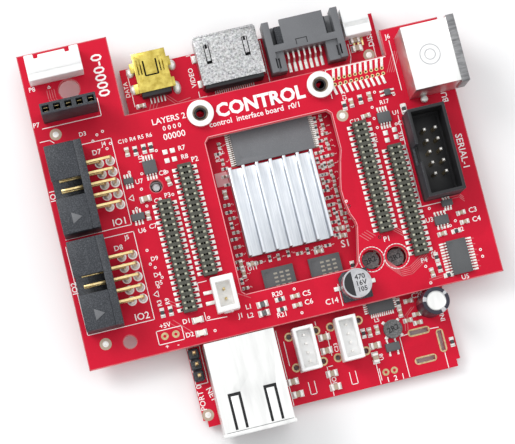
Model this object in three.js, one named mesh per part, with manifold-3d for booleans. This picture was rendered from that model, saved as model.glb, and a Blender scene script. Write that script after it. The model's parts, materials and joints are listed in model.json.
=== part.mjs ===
// A single board computer carrying a plug-on interface board, in millimetres, +Z up.
// The origin is the centre of the main board's underside. +X runs along the board's
// short side and +Y towards the edge that holds the display and storage connectors.
import * as THREE from 'three';
import { mergeVertices } from 'three/addons/utils/BufferGeometryUtils.js';
import Module from 'manifold-3d';

const wasm = await Module();
wasm.setup();

// Driving dimensions
const BOARD_THICKNESS = 1.6;
const BOARD_GAP = 3.0;
const MAIN_WIDTH = 60;
const MAIN_LENGTH = 84;
const MAIN_NOTCH = { x: 0.9, y: 1.6 };
const INTERFACE = { left: -52.1, right: 43.8, bottom: -23.7, top: 49.4 };
const TAB_NOTCH = { left: -31.25, right: 30.0, bottom: 30.7, rightTop: 36.7 };
const FINE_PITCH = 1.27;
const PITCH = 2.54;
const STRIP_PINS = 20;
const STRIP_LENGTH = STRIP_PINS * FINE_PITCH;
const BOX_HEADER = { length: 20.2, depth: 9.0, wall: 1.2, floor: 2.4, key: 4.1, pin: 0.64 };
const BUTTON_TRAVEL = 0.25;

const RED = { color: 0xcf1734, roughness: 0.42, metalness: 0.0 };
const BLACK = { color: 0x1b1c20, roughness: 0.55, metalness: 0.0 };
const CHIP = { color: 0x4c5054, roughness: 0.6, metalness: 0.0 };
const WHITE = { color: 0xf1efe9, roughness: 0.5, metalness: 0.0 };
const GREY = { color: 0x6f7276, roughness: 0.55, metalness: 0.0 };
const TIN = { color: 0xd9dadb, roughness: 0.25, metalness: 1.0 };
const GOLD = { color: 0xd9bf5c, roughness: 0.3, metalness: 1.0 };
const ALUMINIUM = { color: 0xdfe2e6, roughness: 0.35, metalness: 1.0 };
const FERRITE = { color: 0x77797a, roughness: 0.75, metalness: 0.1 };
const OLIVE = { color: 0x54554a, roughness: 0.6, metalness: 0.0 };

// Shapes
function box(x0, x1, y0, y1, z0, z1) {
  const geometry = new THREE.BoxGeometry(x1 - x0, y1 - y0, z1 - z0);
  return geometry.translate((x0 + x1) / 2, (y0 + y1) / 2, (z0 + z1) / 2);
}

function centredBox(x, y, width, length, z0, z1) {
  return box(x - width / 2, x + width / 2, y - length / 2, y + length / 2, z0, z1);
}

function cylinder(x, y, radius, z0, z1, sides = 16) {
  const geometry = new THREE.CylinderGeometry(radius, radius, z1 - z0, sides);
  return geometry.rotateX(Math.PI / 2).translate(x, y, (z0 + z1) / 2);
}

function prism(points, z0, z1) {
  const shape = new THREE.Shape(points.map(([x, y]) => new THREE.Vector2(x, y)));
  const geometry = new THREE.ExtrudeGeometry(shape, { depth: z1 - z0, bevelEnabled: false });
  return geometry.translate(0, 0, z0);
}

function slot(x, y, length, width, alongX, z0, z1) {
  return centredBox(x, y, alongX ? length : width, alongX ? width : length, z0, z1);
}

// Joining and cutting
function toSolid(geometry) {
  const bare = geometry.clone();
  bare.deleteAttribute('normal');
  bare.deleteAttribute('uv');
  const merged = mergeVertices(bare, 1e-4);
  return new wasm.Manifold(new wasm.Mesh({
    numProp: 3,
    vertProperties: merged.attributes.position.array,
    triVerts: new Uint32Array(merged.index.array),
  }));
}

function toGeometry(solid) {
  const { vertProperties, triVerts } = solid.getMesh();
  const geometry = new THREE.BufferGeometry();
  geometry.setAttribute('position', new THREE.BufferAttribute(vertProperties, 3));
  geometry.setIndex(new THREE.BufferAttribute(triVerts, 1));
  geometry.computeVertexNormals();
  return geometry;
}

function build(added, cut = []) {
  let solid = toSolid(added[0]);
  for (const geometry of added.slice(1)) {
    solid = solid.add(toSolid(geometry));
  }
  for (const geometry of cut) {
    solid = solid.subtract(toSolid(geometry));
  }
  return toGeometry(solid);
}

function piece(parent, name, finish, geometry) {
  const mesh = new THREE.Mesh(geometry, new THREE.MeshStandardMaterial(finish));
  mesh.name = name;
  parent.add(mesh);
}

// Scene graph: every group's z is the face that its pieces stand on
const computer = new THREE.Group();
const underside = new THREE.Group();
const mainTop = new THREE.Group();
const interfaceTop = new THREE.Group();
mainTop.position.z = BOARD_THICKNESS;
interfaceTop.position.z = 2 * BOARD_THICKNESS + BOARD_GAP;
computer.add(underside, mainTop, interfaceTop);

// Positions that both boards share
const STRIPS = [
  { x: -27.2, y: -3.25 },
  { x: -20.95, y: 3.7 },
  { x: 20.0, y: 4.0 },
  { x: 26.5, y: -2.95 },
];
const BUTTON = { x: -28.1, y: 13.3 };
const INDUCTORS = [
  { name: 'inductor_left', x: 15.3, y: -14.2 },
  { name: 'inductor_right', x: 21.0, y: -14.8 },
];

// Main board
function mainBoard() {
  const x = MAIN_WIDTH / 2;
  const y = MAIN_LENGTH / 2;
  const step = MAIN_NOTCH;
  const outline = [
    [-x, y], [-x, -y + step.y], [-x + step.x, -y + step.y], [-x + step.x, -y],
    [x - step.x, -y], [x - step.x, -y + step.y], [x, -y + step.y], [x, y],
  ];
  const cut = [
    slot(22.3, -32.3, 4.4, 1.0, true, -1, 3),
    slot(22.3, -38.8, 4.4, 1.0, true, -1, 3),
    slot(26.85, -35.5, 4.6, 1.0, false, -1, 3),
  ];
  for (const holeX of [-6.8, -0.5, 2.95, 9.5]) {
    for (const holeY of [-26.6, -33.75]) {
      cut.push(cylinder(holeX, holeY, 0.65, -1, 3, 8));
    }
  }
  piece(underside, 'main_board_pcb', RED, build([prism(outline, 0, BOARD_THICKNESS)], cut));
}

// A finned block on a thermal pad on the processor
function processorStack() {
  const x = -1.75;
  const y = 3.05;
  piece(mainTop, 'processor_chip', CHIP, centredBox(x, y, 19, 19, 0, 1.2));
  piece(mainTop, 'thermal_pad', GREY, centredBox(x, y, 18, 18, 1.2, 1.6));
  const width = 19.6;
  const base = 3.1;
  const top = 6.6;
  const fin = 0.7;
  const fins = 7;
  const pitch = (width - fin) / (fins - 1);
  const profile = [[0, 1.6], [width, 1.6], [width, top]];
  for (let i = fins - 1; i > 0; i -= 1) {
    profile.push([i * pitch, top], [i * pitch, base], [(i - 1) * pitch + fin, base]);
    profile.push([(i - 1) * pitch + fin, top]);
  }
  profile.push([0, top]);
  const length = 20.4;
  const geometry = prism(profile, 0, length);
  geometry.rotateX(Math.PI / 2).translate(x - width / 2, y + length / 2, 0);
  piece(mainTop, 'heatsink', ALUMINIUM, geometry);
}

function mainChips() {
  piece(mainTop, 'flash_chip', CHIP, box(-8.95, 9.45, 14.1, 26.1, 0.1, 1.1));
  piece(mainTop, 'memory_chip_left', CHIP, box(-9.4, -2.1, -22.9, -10.5, 0.2, 1.2));
  piece(mainTop, 'memory_chip_right', CHIP, box(1.5, 8.8, -22.9, -10.5, 0.2, 1.2));
  piece(mainTop, 'power_chip', CHIP, box(12.15, 18.2, -26.1, -20.05, 0.05, 0.95));
  piece(mainTop, 'network_chip', CHIP, centredBox(-18.5, -19.5, 7, 7, 0.1, 1.1));
}

// Shells that open towards +Y, each closed behind by its plastic insert
function smallSocket() {
  const shell = [box(-26.7, -19.0, 35.0, 44.2, 0.1, 3.9)];
  for (const x of [-27.6, -19.1]) {
    shell.push(box(x, x + 1.0, 35.6, 37.8, 0.1, 0.7), box(x, x + 1.0, 40.6, 42.8, 0.1, 0.7));
  }
  const cavity = box(-26.3, -19.4, 34, 45, 0.5, 3.5);
  piece(mainTop, 'small_socket_shell', GOLD, build(shell, [cavity]));
  const insert = [box(-26.25, -19.45, 34.0, 37.0, 0.55, 3.45), box(-24.9, -20.8, 37.0, 43.0, 2.0, 2.9)];
  piece(mainTop, 'small_socket_insert', BLACK, build(insert));
}

function wideSocket() {
  const shell = build([box(-12.35, 2.15, 33.0, 44.1, 0.15, 6.0)], [box(-11.95, 1.75, 32, 45, 0.55, 5.6)]);
  piece(mainTop, 'wide_socket_shell', TIN, shell);
  const insert = [box(-11.9, 1.7, 32.2, 35.4, 0.6, 5.55), box(-10.3, 0.1, 35.4, 42.6, 2.6, 3.9)];
  piece(mainTop, 'wide_socket_insert', BLACK, build(insert));
}

function driveSocket() {
  const left = 3.8;
  const right = 21.6;
  const added = [
    box(left, left + 1.6, 32.4, 44.2, 0, 5.4),
    box(right - 1.6, right, 32.4, 44.2, 0, 5.4),
    box(left, right, 37.0, 38.6, 0, 5.4),
    box(left, right, 37.0, 43.6, 0, 0.8),
    box(7.9, 18.0, 38.0, 44.2, 4.6, 5.4),
    box(left, 7.4, 32.4, 37.2, 0, 4.4),
    box(17.3, right, 32.4, 37.2, 0, 4.4),
  ];
  piece(mainTop, 'drive_socket_housing', GREY, build(added));
  const tongue = [box(6.6, 18.6, 38.65, 43.2, 2.0, 3.2), box(6.6, 8.0, 38.65, 43.2, 0.85, 3.2)];
  piece(mainTop, 'drive_socket_tongue', BLACK, build(tongue));
}

function tallJack() {
  const side = { left: -26.5, right: -10.8 };
  const front = -45.1;
  const back = -24.4;
  const height = 13.4;
  const wall = 0.4;
  const outer = [
    box(side.left, side.right, front, back, 0, height),
    box(side.left - 0.3, side.right + 0.3, front - 0.4, front + 0.4, 0.3, height + 0.25),
  ];
  const inner = box(side.left + wall, side.right - wall, front - 1, back - wall, -1, height - wall);
  piece(mainTop, 'tall_jack_shell', TIN, build(outer, [inner]));
  const body = box(side.left + 0.5, side.right - 0.5, front + 0.1, back - 0.5, 0.05, height - 0.5);
  const middle = (side.left + side.right) / 2;
  const cavity = [
    box(middle - 5.9, middle + 5.9, front - 1, front + 13.5, 3.2, 10.4),
    box(middle - 3.2, middle + 3.2, front - 1, front + 13.5, 1.6, 3.4),
  ];
  piece(mainTop, 'tall_jack_insert', BLACK, build([body], cavity));
}

// A row of square pins standing in an insulator
function debugHeader() {
  const x = -28.7;
  const added = [centredBox(x, -27.85, PITCH, 3 * PITCH, 0, 2.5)];
  for (let i = -1; i <= 1; i += 1) {
    added.push(centredBox(x, -27.85 + i * PITCH, 0.64, 0.64, 2, 8.5));
  }
  piece(mainTop, 'debug_header', BLACK, build(added));
}

// Box headers: u runs along the row, v across it and w out of the mouth
const OPENING = {
  up: ({ x, y }) => (u0, u1, v0, v1, w0, w1) => box(x + v0, x + v1, y + u0, y + u1, w0, w1),
  left: ({ x, y, z }) => (u0, u1, v0, v1, w0, w1) => box(x - w1, x - w0, y + u0, y + u1, z + v0, z + v1),
  back: ({ x, y, z }) => (u0, u1, v0, v1, w0, w1) => box(x + u0, x + u1, y + w0, y + w1, z + v0, z + v1),
};

function shroud(place, { length, width, wall, floor, depth }, cut = []) {
  const l = length / 2;
  const w = width / 2;
  const outer = place(-l, l, -w, w, floor, depth);
  const inner = place(-l + wall, l - wall, -w + wall, w - wall, floor - 1, depth + 1);
  return build([outer], [inner, ...cut]);
}

function pinBlock(place, { length, width, floor, pin }, pins, tip) {
  const added = [place(-length / 2, length / 2, -width / 2, width / 2, 0, floor)];
  for (const [u, v] of pins) {
    added.push(place(u - pin / 2, u + pin / 2, v - pin / 2, v + pin / 2, floor - 0.5, tip));
  }
  return added;
}

const TWO_ROWS = [];
for (let i = -2; i <= 2; i += 1) {
  TWO_ROWS.push([i * PITCH, -PITCH / 2], [i * PITCH, PITCH / 2]);
}

function verticalBoxHeader() {
  const size = { ...BOX_HEADER, width: 8.6 };
  const place = OPENING.up({ x: 34.3, y: 5.75 });
  const key = place(-size.key / 2, size.key / 2, -5, -3, size.floor + 0.6, size.depth + 1);
  piece(interfaceTop, 'serial_header_shroud', BLACK, shroud(place, size, [key]));
  piece(interfaceTop, 'serial_header_pins', BLACK, build(pinBlock(place, size, TWO_ROWS, 7.6)));
}

function angledBoxHeader(name, y) {
  const size = { ...BOX_HEADER, depth: 8.4, floor: 1.8, width: 9.0 };
  const origin = { x: -42.2, y, z: size.width / 2 };
  const place = OPENING.left(origin);
  const key = place(-size.key / 2, size.key / 2, 3, 5, size.floor, size.depth + 1);
  piece(interfaceTop, `${name}_shroud`, BLACK, shroud(place, size, [key]));
  const pins = pinBlock(place, size, TWO_ROWS, 7.0);
  const half = size.pin / 2;
  for (const [u, v] of TWO_ROWS) {
    const foot = v < 0 ? -39.35 : -36.85;
    const height = origin.z + v;
    pins.push(box(origin.x - 0.5, foot + half, y + u - half, y + u + half, height - half, height + half));
    pins.push(box(foot - half, foot + half, y + u - half, y + u + half, 0, height));
  }
  piece(interfaceTop, `${name}_pins`, BLACK, build(pins));
}

// White wire-to-board sockets, on either board
function wireSocket(parent, name, place, size, count, pitch, tip) {
  const pins = [];
  for (let i = 0; i < count; i += 1) {
    pins.push([(i - (count - 1) / 2) * pitch, 0]);
  }
  piece(parent, `${name}_housing`, WHITE, shroud(place, size));
  piece(parent, `${name}_pins`, WHITE, build(pinBlock(place, size, pins, tip)));
}

function hostSockets() {
  const size = { length: 9.9, width: 4.7, wall: 0.7, floor: 1.6, depth: 6.0, pin: 0.5 };
  const sockets = [['host_socket_left', -3.8], ['host_socket_right', 6.05]];
  for (const [name, x] of sockets) {
    wireSocket(mainTop, name, OPENING.up({ x, y: -30.15 }), size, 4, 2.0, 5.0);
  }
}

function edgeSockets() {
  const battery = { length: 6.1, width: 4.8, wall: 0.7, floor: 1.8, depth: 6.6, pin: 0.5 };
  const batteryPlace = OPENING.back({ x: 25.3, y: 37.0, z: 2.4 });
  wireSocket(mainTop, 'battery_socket', batteryPlace, battery, 2, 2.0, 5.6);
  const fan = { length: 12.4, width: 5.8, wall: 0.9, floor: 1.6, depth: 6.0, pin: 0.64 };
  const fanPlace = OPENING.back({ x: -44.2, y: 41.95, z: 2.9 });
  wireSocket(interfaceTop, 'fan_socket', fanPlace, fan, 4, 2.5, 5.0);
}

// Drum inductors and capacitors
function mainPassives() {
  piece(mainTop, 'inductor_power', FERRITE, cylinder(16.5, -30.4, 2.1, 0, 2.2));
  for (const { name, x, y } of INDUCTORS) {
    piece(mainTop, name, FERRITE, cylinder(x, y, 1.95, 0, 2.4));
  }
  piece(mainTop, 'tall_capacitor', ALUMINIUM, cylinder(26.2, -26.95, 3.05, 0, 10.5, 20));
}

// Pin headers on the main board and the sockets that they pass up into. Each row of pins is
// one blade, because a blade and a row of pins fill the same slot
function boardStackers() {
  const row = FINE_PITCH / 2;
  const top = BOARD_GAP + BOARD_THICKNESS + 1.7;
  STRIPS.forEach(({ x, y }, index) => {
    const header = [centredBox(x, y, 2.2, STRIP_LENGTH - 0.4, 0, BOARD_GAP)];
    const strip = centredBox(x, y, 3.1, STRIP_LENGTH + 0.5, 0, 2.2);
    const slots = [];
    for (const side of [-row, row]) {
      header.push(centredBox(x + side, y, 0.4, STRIP_LENGTH - 0.9, BOARD_GAP - 1, top));
      slots.push(centredBox(x + side, y, 0.9, STRIP_LENGTH - 0.4, -1, 3));
    }
    piece(mainTop, `stacking_header_${index + 1}`, BLACK, build(header));
    piece(interfaceTop, `socket_strip_${index + 1}`, OLIVE, build([strip], slots));
  });
}

function resetButton() {
  const { x, y } = BUTTON;
  const body = centredBox(x, y, 3.5, 3.5, 0, 1.9);
  const well = cylinder(x, y, 1.05, 0.4, 3, 12);
  piece(mainTop, 'button_body', TIN, build([body], [well]));
  piece(mainTop, 'button_plunger', BLACK, cylinder(x, y, 0.9, 0.4 + BUTTON_TRAVEL + 0.1, 2.5, 12));
}

// Interface board
function interfaceBoard() {
  const edge = INTERFACE;
  const tab = TAB_NOTCH;
  const outline = [
    [edge.left, edge.top], [edge.left, edge.bottom], [edge.right, edge.bottom],
    [edge.right, tab.rightTop], [tab.right, tab.rightTop], [tab.right, tab.bottom],
    [tab.left, tab.bottom], [tab.left, edge.top],
  ];
  const window = [
    [-14.9, 20.4], [-14.9, -14.3], [-14.2, -15.05], [11.0, -15.05], [12.0, -14.0], [13.8, -6.0],
    [13.6, -4.7], [12.9, -3.0], [12.3, 0.4], [12.2, 2.8], [12.7, 5.2], [13.7, 9.3],
    [14.5, 11.9], [14.5, 20.4], [13.6, 21.3], [-14.0, 21.3],
  ];
  const cut = [prism(window, -BOARD_THICKNESS - 1, 1)];
  const holes = [
    [-42.1, 39.4, 2.4], [-41.9, -19.5, 1.5], [BUTTON.x, BUTTON.y, 1.45],
    [-14.6, 27.0, 1.3], [13.5, 27.2, 1.3],
  ];
  for (const { x, y } of INDUCTORS) {
    holes.push([x, y, 2.33]);
  }
  for (const [x, y, radius] of holes) {
    cut.push(cylinder(x, y, radius, -BOARD_THICKNESS - 1, 1, 16));
  }
  for (const { x, y } of STRIPS) {
    cut.push(centredBox(x, y, 2.3, STRIP_LENGTH - 0.3, -BOARD_THICKNESS - 1, 1));
  }
  piece(interfaceTop, 'interface_board_pcb', RED, build([prism(outline, -BOARD_THICKNESS, 0)], cut));
}

function standoffs() {
  for (const [name, x, y] of [['standoff_left', -14.6, 27.0], ['standoff_right', 13.5, 27.2]]) {
    const ring = build([cylinder(x, y, 3.05, 0, 1.8, 24)], [cylinder(x, y, 1.2, -1, 3, 16)]);
    piece(interfaceTop, name, TIN, ring);
  }
}

// A raised socket for a flat plug, open towards +X with a flared mouth
function raisedSocket() {
  const left = 32.8;
  const mouth = 43.7;
  const low = 19.35;
  const high = 33.95;
  const top = 10.9;
  const shelf = 3.7;
  const wall = 0.4;
  const flare = 0.45;
  const outer = [
    box(left, mouth, low, high, 0, top),
    box(mouth - 0.4, mouth + 1.5, low - flare, high + flare, shelf - 0.4, top + 0.3),
  ];
  const cut = [
    box(left + wall, mouth - wall, low + wall, high - wall, -1, shelf + 1),
    box(left + wall, mouth + 3, low + wall, high - wall, shelf, top - wall),
    box(mouth + 0.3, mouth + 3, low - flare + 0.35, high + flare - 0.35, shelf - 0.05, top),
  ];
  piece(interfaceTop, 'raised_socket_shell', TIN, build(outer, cut));
  const inside = wall + 0.05;
  const insert = [
    box(left + inside, mouth - inside, low + inside, high - inside, 0.05, shelf - 0.05),
    box(left + inside, left + 2.2, low + inside, high - inside, 0.05, top - inside),
    box(left + 2, mouth - 1.4, low + 1.9, high - 1.9, 8.2, 9.9),
  ];
  piece(interfaceTop, 'raised_socket_insert', WHITE, build(insert));
}

function fiveWaySocket() {
  const x = -43.05;
  const y = 34.15;
  const holes = [];
  for (let i = -2; i <= 2; i += 1) {
    holes.push(centredBox(x + i * PITCH, y, 1.5, 1.4, 3.0, 12));
  }
  piece(interfaceTop, 'five_way_socket', BLACK, build([centredBox(x, y, 12.6, 2.5, 0, 11.0)], holes));
}

// A small white surface-mount socket, open upwards
function signalSocket() {
  const body = box(-21.5, -16.4, -18.2, -10.1, 0, 4.6);
  const well = box(-20.6, -17.3, -17.0, -11.4, 1.2, 6);
  piece(interfaceTop, 'signal_socket', WHITE, build([body], [well]));
}

function filterCapacitor() {
  const x = 10.1;
  const y = -19.0;
  const r = 3.4;
  const c = 1.2;
  const base = [
    [x - r, y - r], [x + r, y - r], [x + r, y + r], [x - r + c, y + r], [x - r, y + r - c],
  ];
  piece(interfaceTop, 'filter_capacitor_base', BLACK, prism(base, 0.1, 1.0));
  piece(interfaceTop, 'filter_capacitor_can', ALUMINIUM, cylinder(x, y, 3.3, 1.0, 5.6, 20));
}

function interfaceChips() {
  piece(interfaceTop, 'serial_chip', CHIP, centredBox(34.7, -18.2, 4.4, 7.8, 0.1, 1.3));
  piece(interfaceTop, 'logic_chip_left', CHIP, centredBox(-28.5, 17.8, 3.0, 3.0, 0.1, 1.0));
  piece(interfaceTop, 'logic_chip_right', CHIP, centredBox(26.0, 16.7, 3.0, 2.4, 0.1, 1.0));
}

mainBoard();
processorStack();
mainChips();
smallSocket();
wideSocket();
driveSocket();
tallJack();
debugHeader();
hostSockets();
edgeSockets();
mainPassives();
boardStackers();
resetButton();
interfaceBoard();
standoffs();
raisedSocket();
verticalBoxHeader();
angledBoxHeader('display_header', 16.2);
angledBoxHeader('storage_header', -5.65);
fiveWaySocket();
signalSocket();
filterCapacitor();
interfaceChips();

export default computer;
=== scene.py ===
"""Looks of a single board computer that carries a plug-on interface board."""
import json
import math
import random

import bpy
from mathutils import Matrix, Vector

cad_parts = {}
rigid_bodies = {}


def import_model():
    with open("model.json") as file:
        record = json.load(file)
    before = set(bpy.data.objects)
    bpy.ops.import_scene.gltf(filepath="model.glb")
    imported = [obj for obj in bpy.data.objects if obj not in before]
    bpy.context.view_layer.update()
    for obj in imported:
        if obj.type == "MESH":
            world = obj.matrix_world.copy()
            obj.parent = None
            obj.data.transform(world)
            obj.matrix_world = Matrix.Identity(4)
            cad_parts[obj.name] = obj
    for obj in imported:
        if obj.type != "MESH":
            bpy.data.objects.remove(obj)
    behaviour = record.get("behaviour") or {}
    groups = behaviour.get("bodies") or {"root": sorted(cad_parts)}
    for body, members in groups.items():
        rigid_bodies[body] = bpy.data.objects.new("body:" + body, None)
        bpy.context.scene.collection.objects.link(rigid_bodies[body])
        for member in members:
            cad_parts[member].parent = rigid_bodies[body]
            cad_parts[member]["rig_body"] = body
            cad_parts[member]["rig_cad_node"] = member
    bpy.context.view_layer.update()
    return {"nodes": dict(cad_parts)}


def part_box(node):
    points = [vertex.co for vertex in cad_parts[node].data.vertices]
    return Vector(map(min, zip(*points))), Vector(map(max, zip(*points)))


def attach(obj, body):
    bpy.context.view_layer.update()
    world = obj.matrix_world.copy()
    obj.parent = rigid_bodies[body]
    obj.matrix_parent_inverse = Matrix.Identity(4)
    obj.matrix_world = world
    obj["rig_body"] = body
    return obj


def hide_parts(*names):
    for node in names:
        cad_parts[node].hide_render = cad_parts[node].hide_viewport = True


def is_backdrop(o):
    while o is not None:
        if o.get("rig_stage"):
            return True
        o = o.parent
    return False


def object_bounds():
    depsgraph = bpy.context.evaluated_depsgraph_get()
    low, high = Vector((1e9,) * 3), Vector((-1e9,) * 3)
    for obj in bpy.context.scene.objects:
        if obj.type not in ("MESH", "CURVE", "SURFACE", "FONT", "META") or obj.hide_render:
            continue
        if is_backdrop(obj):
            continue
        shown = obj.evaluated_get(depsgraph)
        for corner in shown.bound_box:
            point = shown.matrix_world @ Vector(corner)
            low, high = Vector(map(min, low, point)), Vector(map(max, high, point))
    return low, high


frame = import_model()

bl_info = {
    "name": "Stacked single board computer",
    "version": (1, 0, 0),
    "blender": (4, 5, 0),
    "location": "3D View > Sidebar > Boards",
    "description": "Dresses a two-board computer: boards, connectors, chips and soldered parts",
    "category": "Object",
}

MM = 0.001
MAIN = "main_board"
PLUG = "interface_board"
BUTTON = "push_button"
MAIN_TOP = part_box("main_board_pcb")[1].z / MM
PLUG_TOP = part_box("interface_board_pcb")[1].z / MM
PLUG_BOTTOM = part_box("interface_board_pcb")[0].z / MM
FINE_PITCH = 1.27
PITCH = 2.54


# Modelling helpers. They take places and sizes in millimetres and scale them to metres
def work_on(*pieces):
    """Selects only these pieces and makes the first one active."""
    bpy.ops.object.select_all(action="DESELECT")
    for piece in pieces:
        piece.select_set(True)
    bpy.context.view_layer.objects.active = pieces[0]


def settled(name):
    """Names the new primitive and puts its place and size into its mesh."""
    piece = bpy.context.active_object
    piece.name = name
    bpy.ops.object.transform_apply(location=True, rotation=True, scale=True)
    return piece


def block(name, low, high):
    low, high = Vector(low) * MM, Vector(high) * MM
    bpy.ops.object.select_all(action="DESELECT")
    bpy.ops.mesh.primitive_cube_add(size=1, location=(low + high) / 2, scale=high - low)
    return settled(name)


def rod(name, start, end, radius, sides=24):
    start, end = Vector(start) * MM, Vector(end) * MM
    turn = (end - start).to_track_quat("Z", "Y").to_euler()
    bpy.ops.object.select_all(action="DESELECT")
    bpy.ops.mesh.primitive_cylinder_add(
        vertices=sides, radius=radius * MM, depth=(end - start).length,
        location=(start + end) / 2, rotation=turn,
    )
    return settled(name)


def pick(piece, kind, test):
    """Enters edit mode with only the faces, edges or points that pass the test selected."""
    work_on(piece)
    modes = ("VERT", "EDGE", "FACE")
    bpy.context.tool_settings.mesh_select_mode = [kind == mode for mode in modes]
    bpy.ops.object.mode_set(mode="EDIT")
    bpy.ops.mesh.select_all(action="DESELECT")
    bpy.ops.object.mode_set(mode="OBJECT")
    mesh = piece.data
    for item in {"VERT": mesh.vertices, "EDGE": mesh.edges, "FACE": mesh.polygons}[kind]:
        item.select = test(item)
    bpy.ops.object.mode_set(mode="EDIT")


def finish_edit():
    bpy.ops.object.mode_set(mode="OBJECT")


def inset(thickness):
    bpy.ops.mesh.inset(thickness=thickness * MM)


def extrude(x, y, z):
    """Pulls the picked faces out by so many millimetres."""
    move = {"value": (x * MM, y * MM, z * MM)}
    bpy.ops.mesh.extrude_region_move(TRANSFORM_OT_translate=move)


def stretch_by(factors, x=0.0, y=0.0, z=0.0):
    """Scales the picked faces about a point in millimetres."""
    bpy.ops.transform.resize(value=factors, center_override=(x * MM, y * MM, z * MM))


def faces_up(face):
    return face.normal.z > 0.9


def step_top(piece, rim, rise):
    """Raises or sinks the top of a piece inside a rim."""
    pick(piece, "FACE", faces_up)
    inset(rim)
    extrude(0, 0, rise)
    finish_edit()


def faces_down(face):
    return face.normal.z < -0.9


def modify(piece, kind, **settings):
    """Adds a modifier and applies it."""
    work_on(piece)
    modifier = piece.modifiers.new(kind.title(), kind)
    for setting, value in settings.items():
        setattr(modifier, setting, value)
    bpy.ops.object.modifier_apply(modifier=modifier.name)
    return piece


def soften(piece, width=0.1, segments=2, angle=40):
    """Rounds the sharp edges a little and shades the rest smooth."""
    modify(piece, "BEVEL", width=width * MM, segments=segments, limit_method="ANGLE",
           angle_limit=math.radians(angle))
    bpy.ops.object.shade_smooth_by_angle(angle=math.radians(35))
    return piece


def carve(piece, *tools):
    """Cuts the tools out of the piece and removes them."""
    for tool in tools:
        modify(piece, "BOOLEAN", operation="DIFFERENCE", solver="EXACT", object=tool)
        bpy.data.objects.remove(tool)
    return piece


def joined(name, pieces):
    work_on(*pieces)
    if len(pieces) > 1:
        bpy.ops.object.join()
    piece = bpy.context.active_object
    piece.name = name
    return piece


def place(x, y, z=0.0, turn=0.0, size=(1, 1, 1)):
    """A matrix that sizes a model, turns it in degrees and moves it, in millimetres."""
    move = Matrix.Translation(Vector((x, y, z)) * MM)
    return move @ Matrix.Rotation(math.radians(turn), 4, "Z") @ Matrix.Diagonal((*size, 1))


def scatter(name, model, places):
    """Copies the model to each place, each copy with its own mesh, as one piece."""
    copies = []
    for matrix in places:
        twin = model.copy()
        twin.data = model.data.copy()
        twin.data.transform(matrix)
        bpy.context.scene.collection.objects.link(twin)
        copies.append(twin)
    bpy.data.objects.remove(model)
    return joined(name, copies)


def from_cad(node, name):
    """A merged copy of a CAD node, with flat faces in one piece."""
    source = frame["nodes"][node]
    twin = source.copy()
    twin.data = source.data.copy()
    twin.parent = None
    twin.name = name
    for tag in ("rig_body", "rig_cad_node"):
        del twin[tag]
    bpy.context.scene.collection.objects.link(twin)
    twin.data.materials.clear()
    pick(twin, "VERT", lambda point: True)
    bpy.ops.mesh.customdata_custom_splitnormals_clear()
    bpy.ops.mesh.remove_doubles(threshold=0.001 * MM)
    bpy.ops.mesh.dissolve_limited(angle_limit=math.radians(1))
    finish_edit()
    return twin


def coat(piece, finish, test=None):
    """Gives the piece a finish, or only those faces of it that pass the test."""
    material = finish_named(finish)
    piece.data.materials.append(material)
    slot = len(piece.data.materials) - 1
    for face in piece.data.polygons:
        if test is None or test(face):
            face.material_index = slot
    return piece


def hand_over(piece, body, slot, *nodes):
    """Lets the finished piece ride on a body, in place of the CAD nodes named."""
    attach(piece, body)
    if nodes:
        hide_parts(*nodes)
    return piece


def extent(node):
    """The lowest and highest corners of a CAD node, in millimetres."""
    return [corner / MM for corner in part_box(node)]


def centre_of(low, high):
    return (low.x + high.x) / 2, (low.y + high.y) / 2


def circle_of(low, high):
    """The middle and the radius of a round part that fills its corners."""
    return (*centre_of(low, high), (high.x - low.x) / 2)


def lay(name, model, places, body, slot, *nodes):
    """Copies a coated model to its places and hands over the one piece."""
    return hand_over(scatter(name, model, places), body, slot, *nodes)


def dress_node(node, name, width, segments, finish, body, slot):
    """Hands over a softened and coated copy of a CAD node in the node's place."""
    return hand_over(coat(soften(from_cad(node, name), width, segments), finish), body, slot, node)


# Small shapes that repeat
def strip_model():
    """A flat bar of one millimetre each way, which places stretch."""
    return block("strip", (-0.5, -0.5, 0), (0.5, 0.5, 1))


def line_places(lines, z, width, height):
    """Places that stretch a strip along each straight run of some lines."""
    places = []
    for line in lines:
        for (x0, y0), (x1, y1) in zip(line, line[1:]):
            run = math.hypot(x1 - x0, y1 - y0) + width
            turn = math.degrees(math.atan2(y1 - y0, x1 - x0))
            size = (run, width, height)
            places.append(place((x0 + x1) / 2, (y0 + y1) / 2, z, turn, size))
    return places


def draw_lines(name, lines, level, width, height, finish, body, slot="board_red"):
    """Thin raised lines on a flat face, as one piece."""
    places = line_places(lines, level, width, height)
    lay(name, coat(strip_model(), finish), places, body, slot)


def rectangle(x0, y0, x1, y1):
    return [(x0, y0), (x1, y0), (x1, y1), (x0, y1), (x0, y0)]


def circle_line(x, y, radius, steps=24):
    points = []
    for i in range(steps + 1):
        angle = math.tau * i / steps
        points.append((x + radius * math.cos(angle), y + radius * math.sin(angle)))
    return points


def ring_model(outer, inner, height, sides=20):
    """A flat ring with a hole, its underside at z 0."""
    ring = rod("ring", (0, 0, 0), (0, 0, height), outer, sides)
    pick(ring, "FACE", lambda face: abs(face.normal.z) > 0.9)
    inset(outer - inner)
    bpy.ops.mesh.bridge_edge_loops()
    finish_edit()
    return ring


def solder_model(radius, height, tip=0.35):
    """A cone of solder that narrows to its pin."""
    cone = rod("solder", (0, 0, 0), (0, 0, height * 0.35), radius, 14)
    pick(cone, "FACE", faces_up)
    extrude(0, 0, height * 0.65)
    stretch_by((tip / radius, tip / radius, 1))
    finish_edit()
    return soften(cone, height * 0.12, 2, 25)


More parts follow.
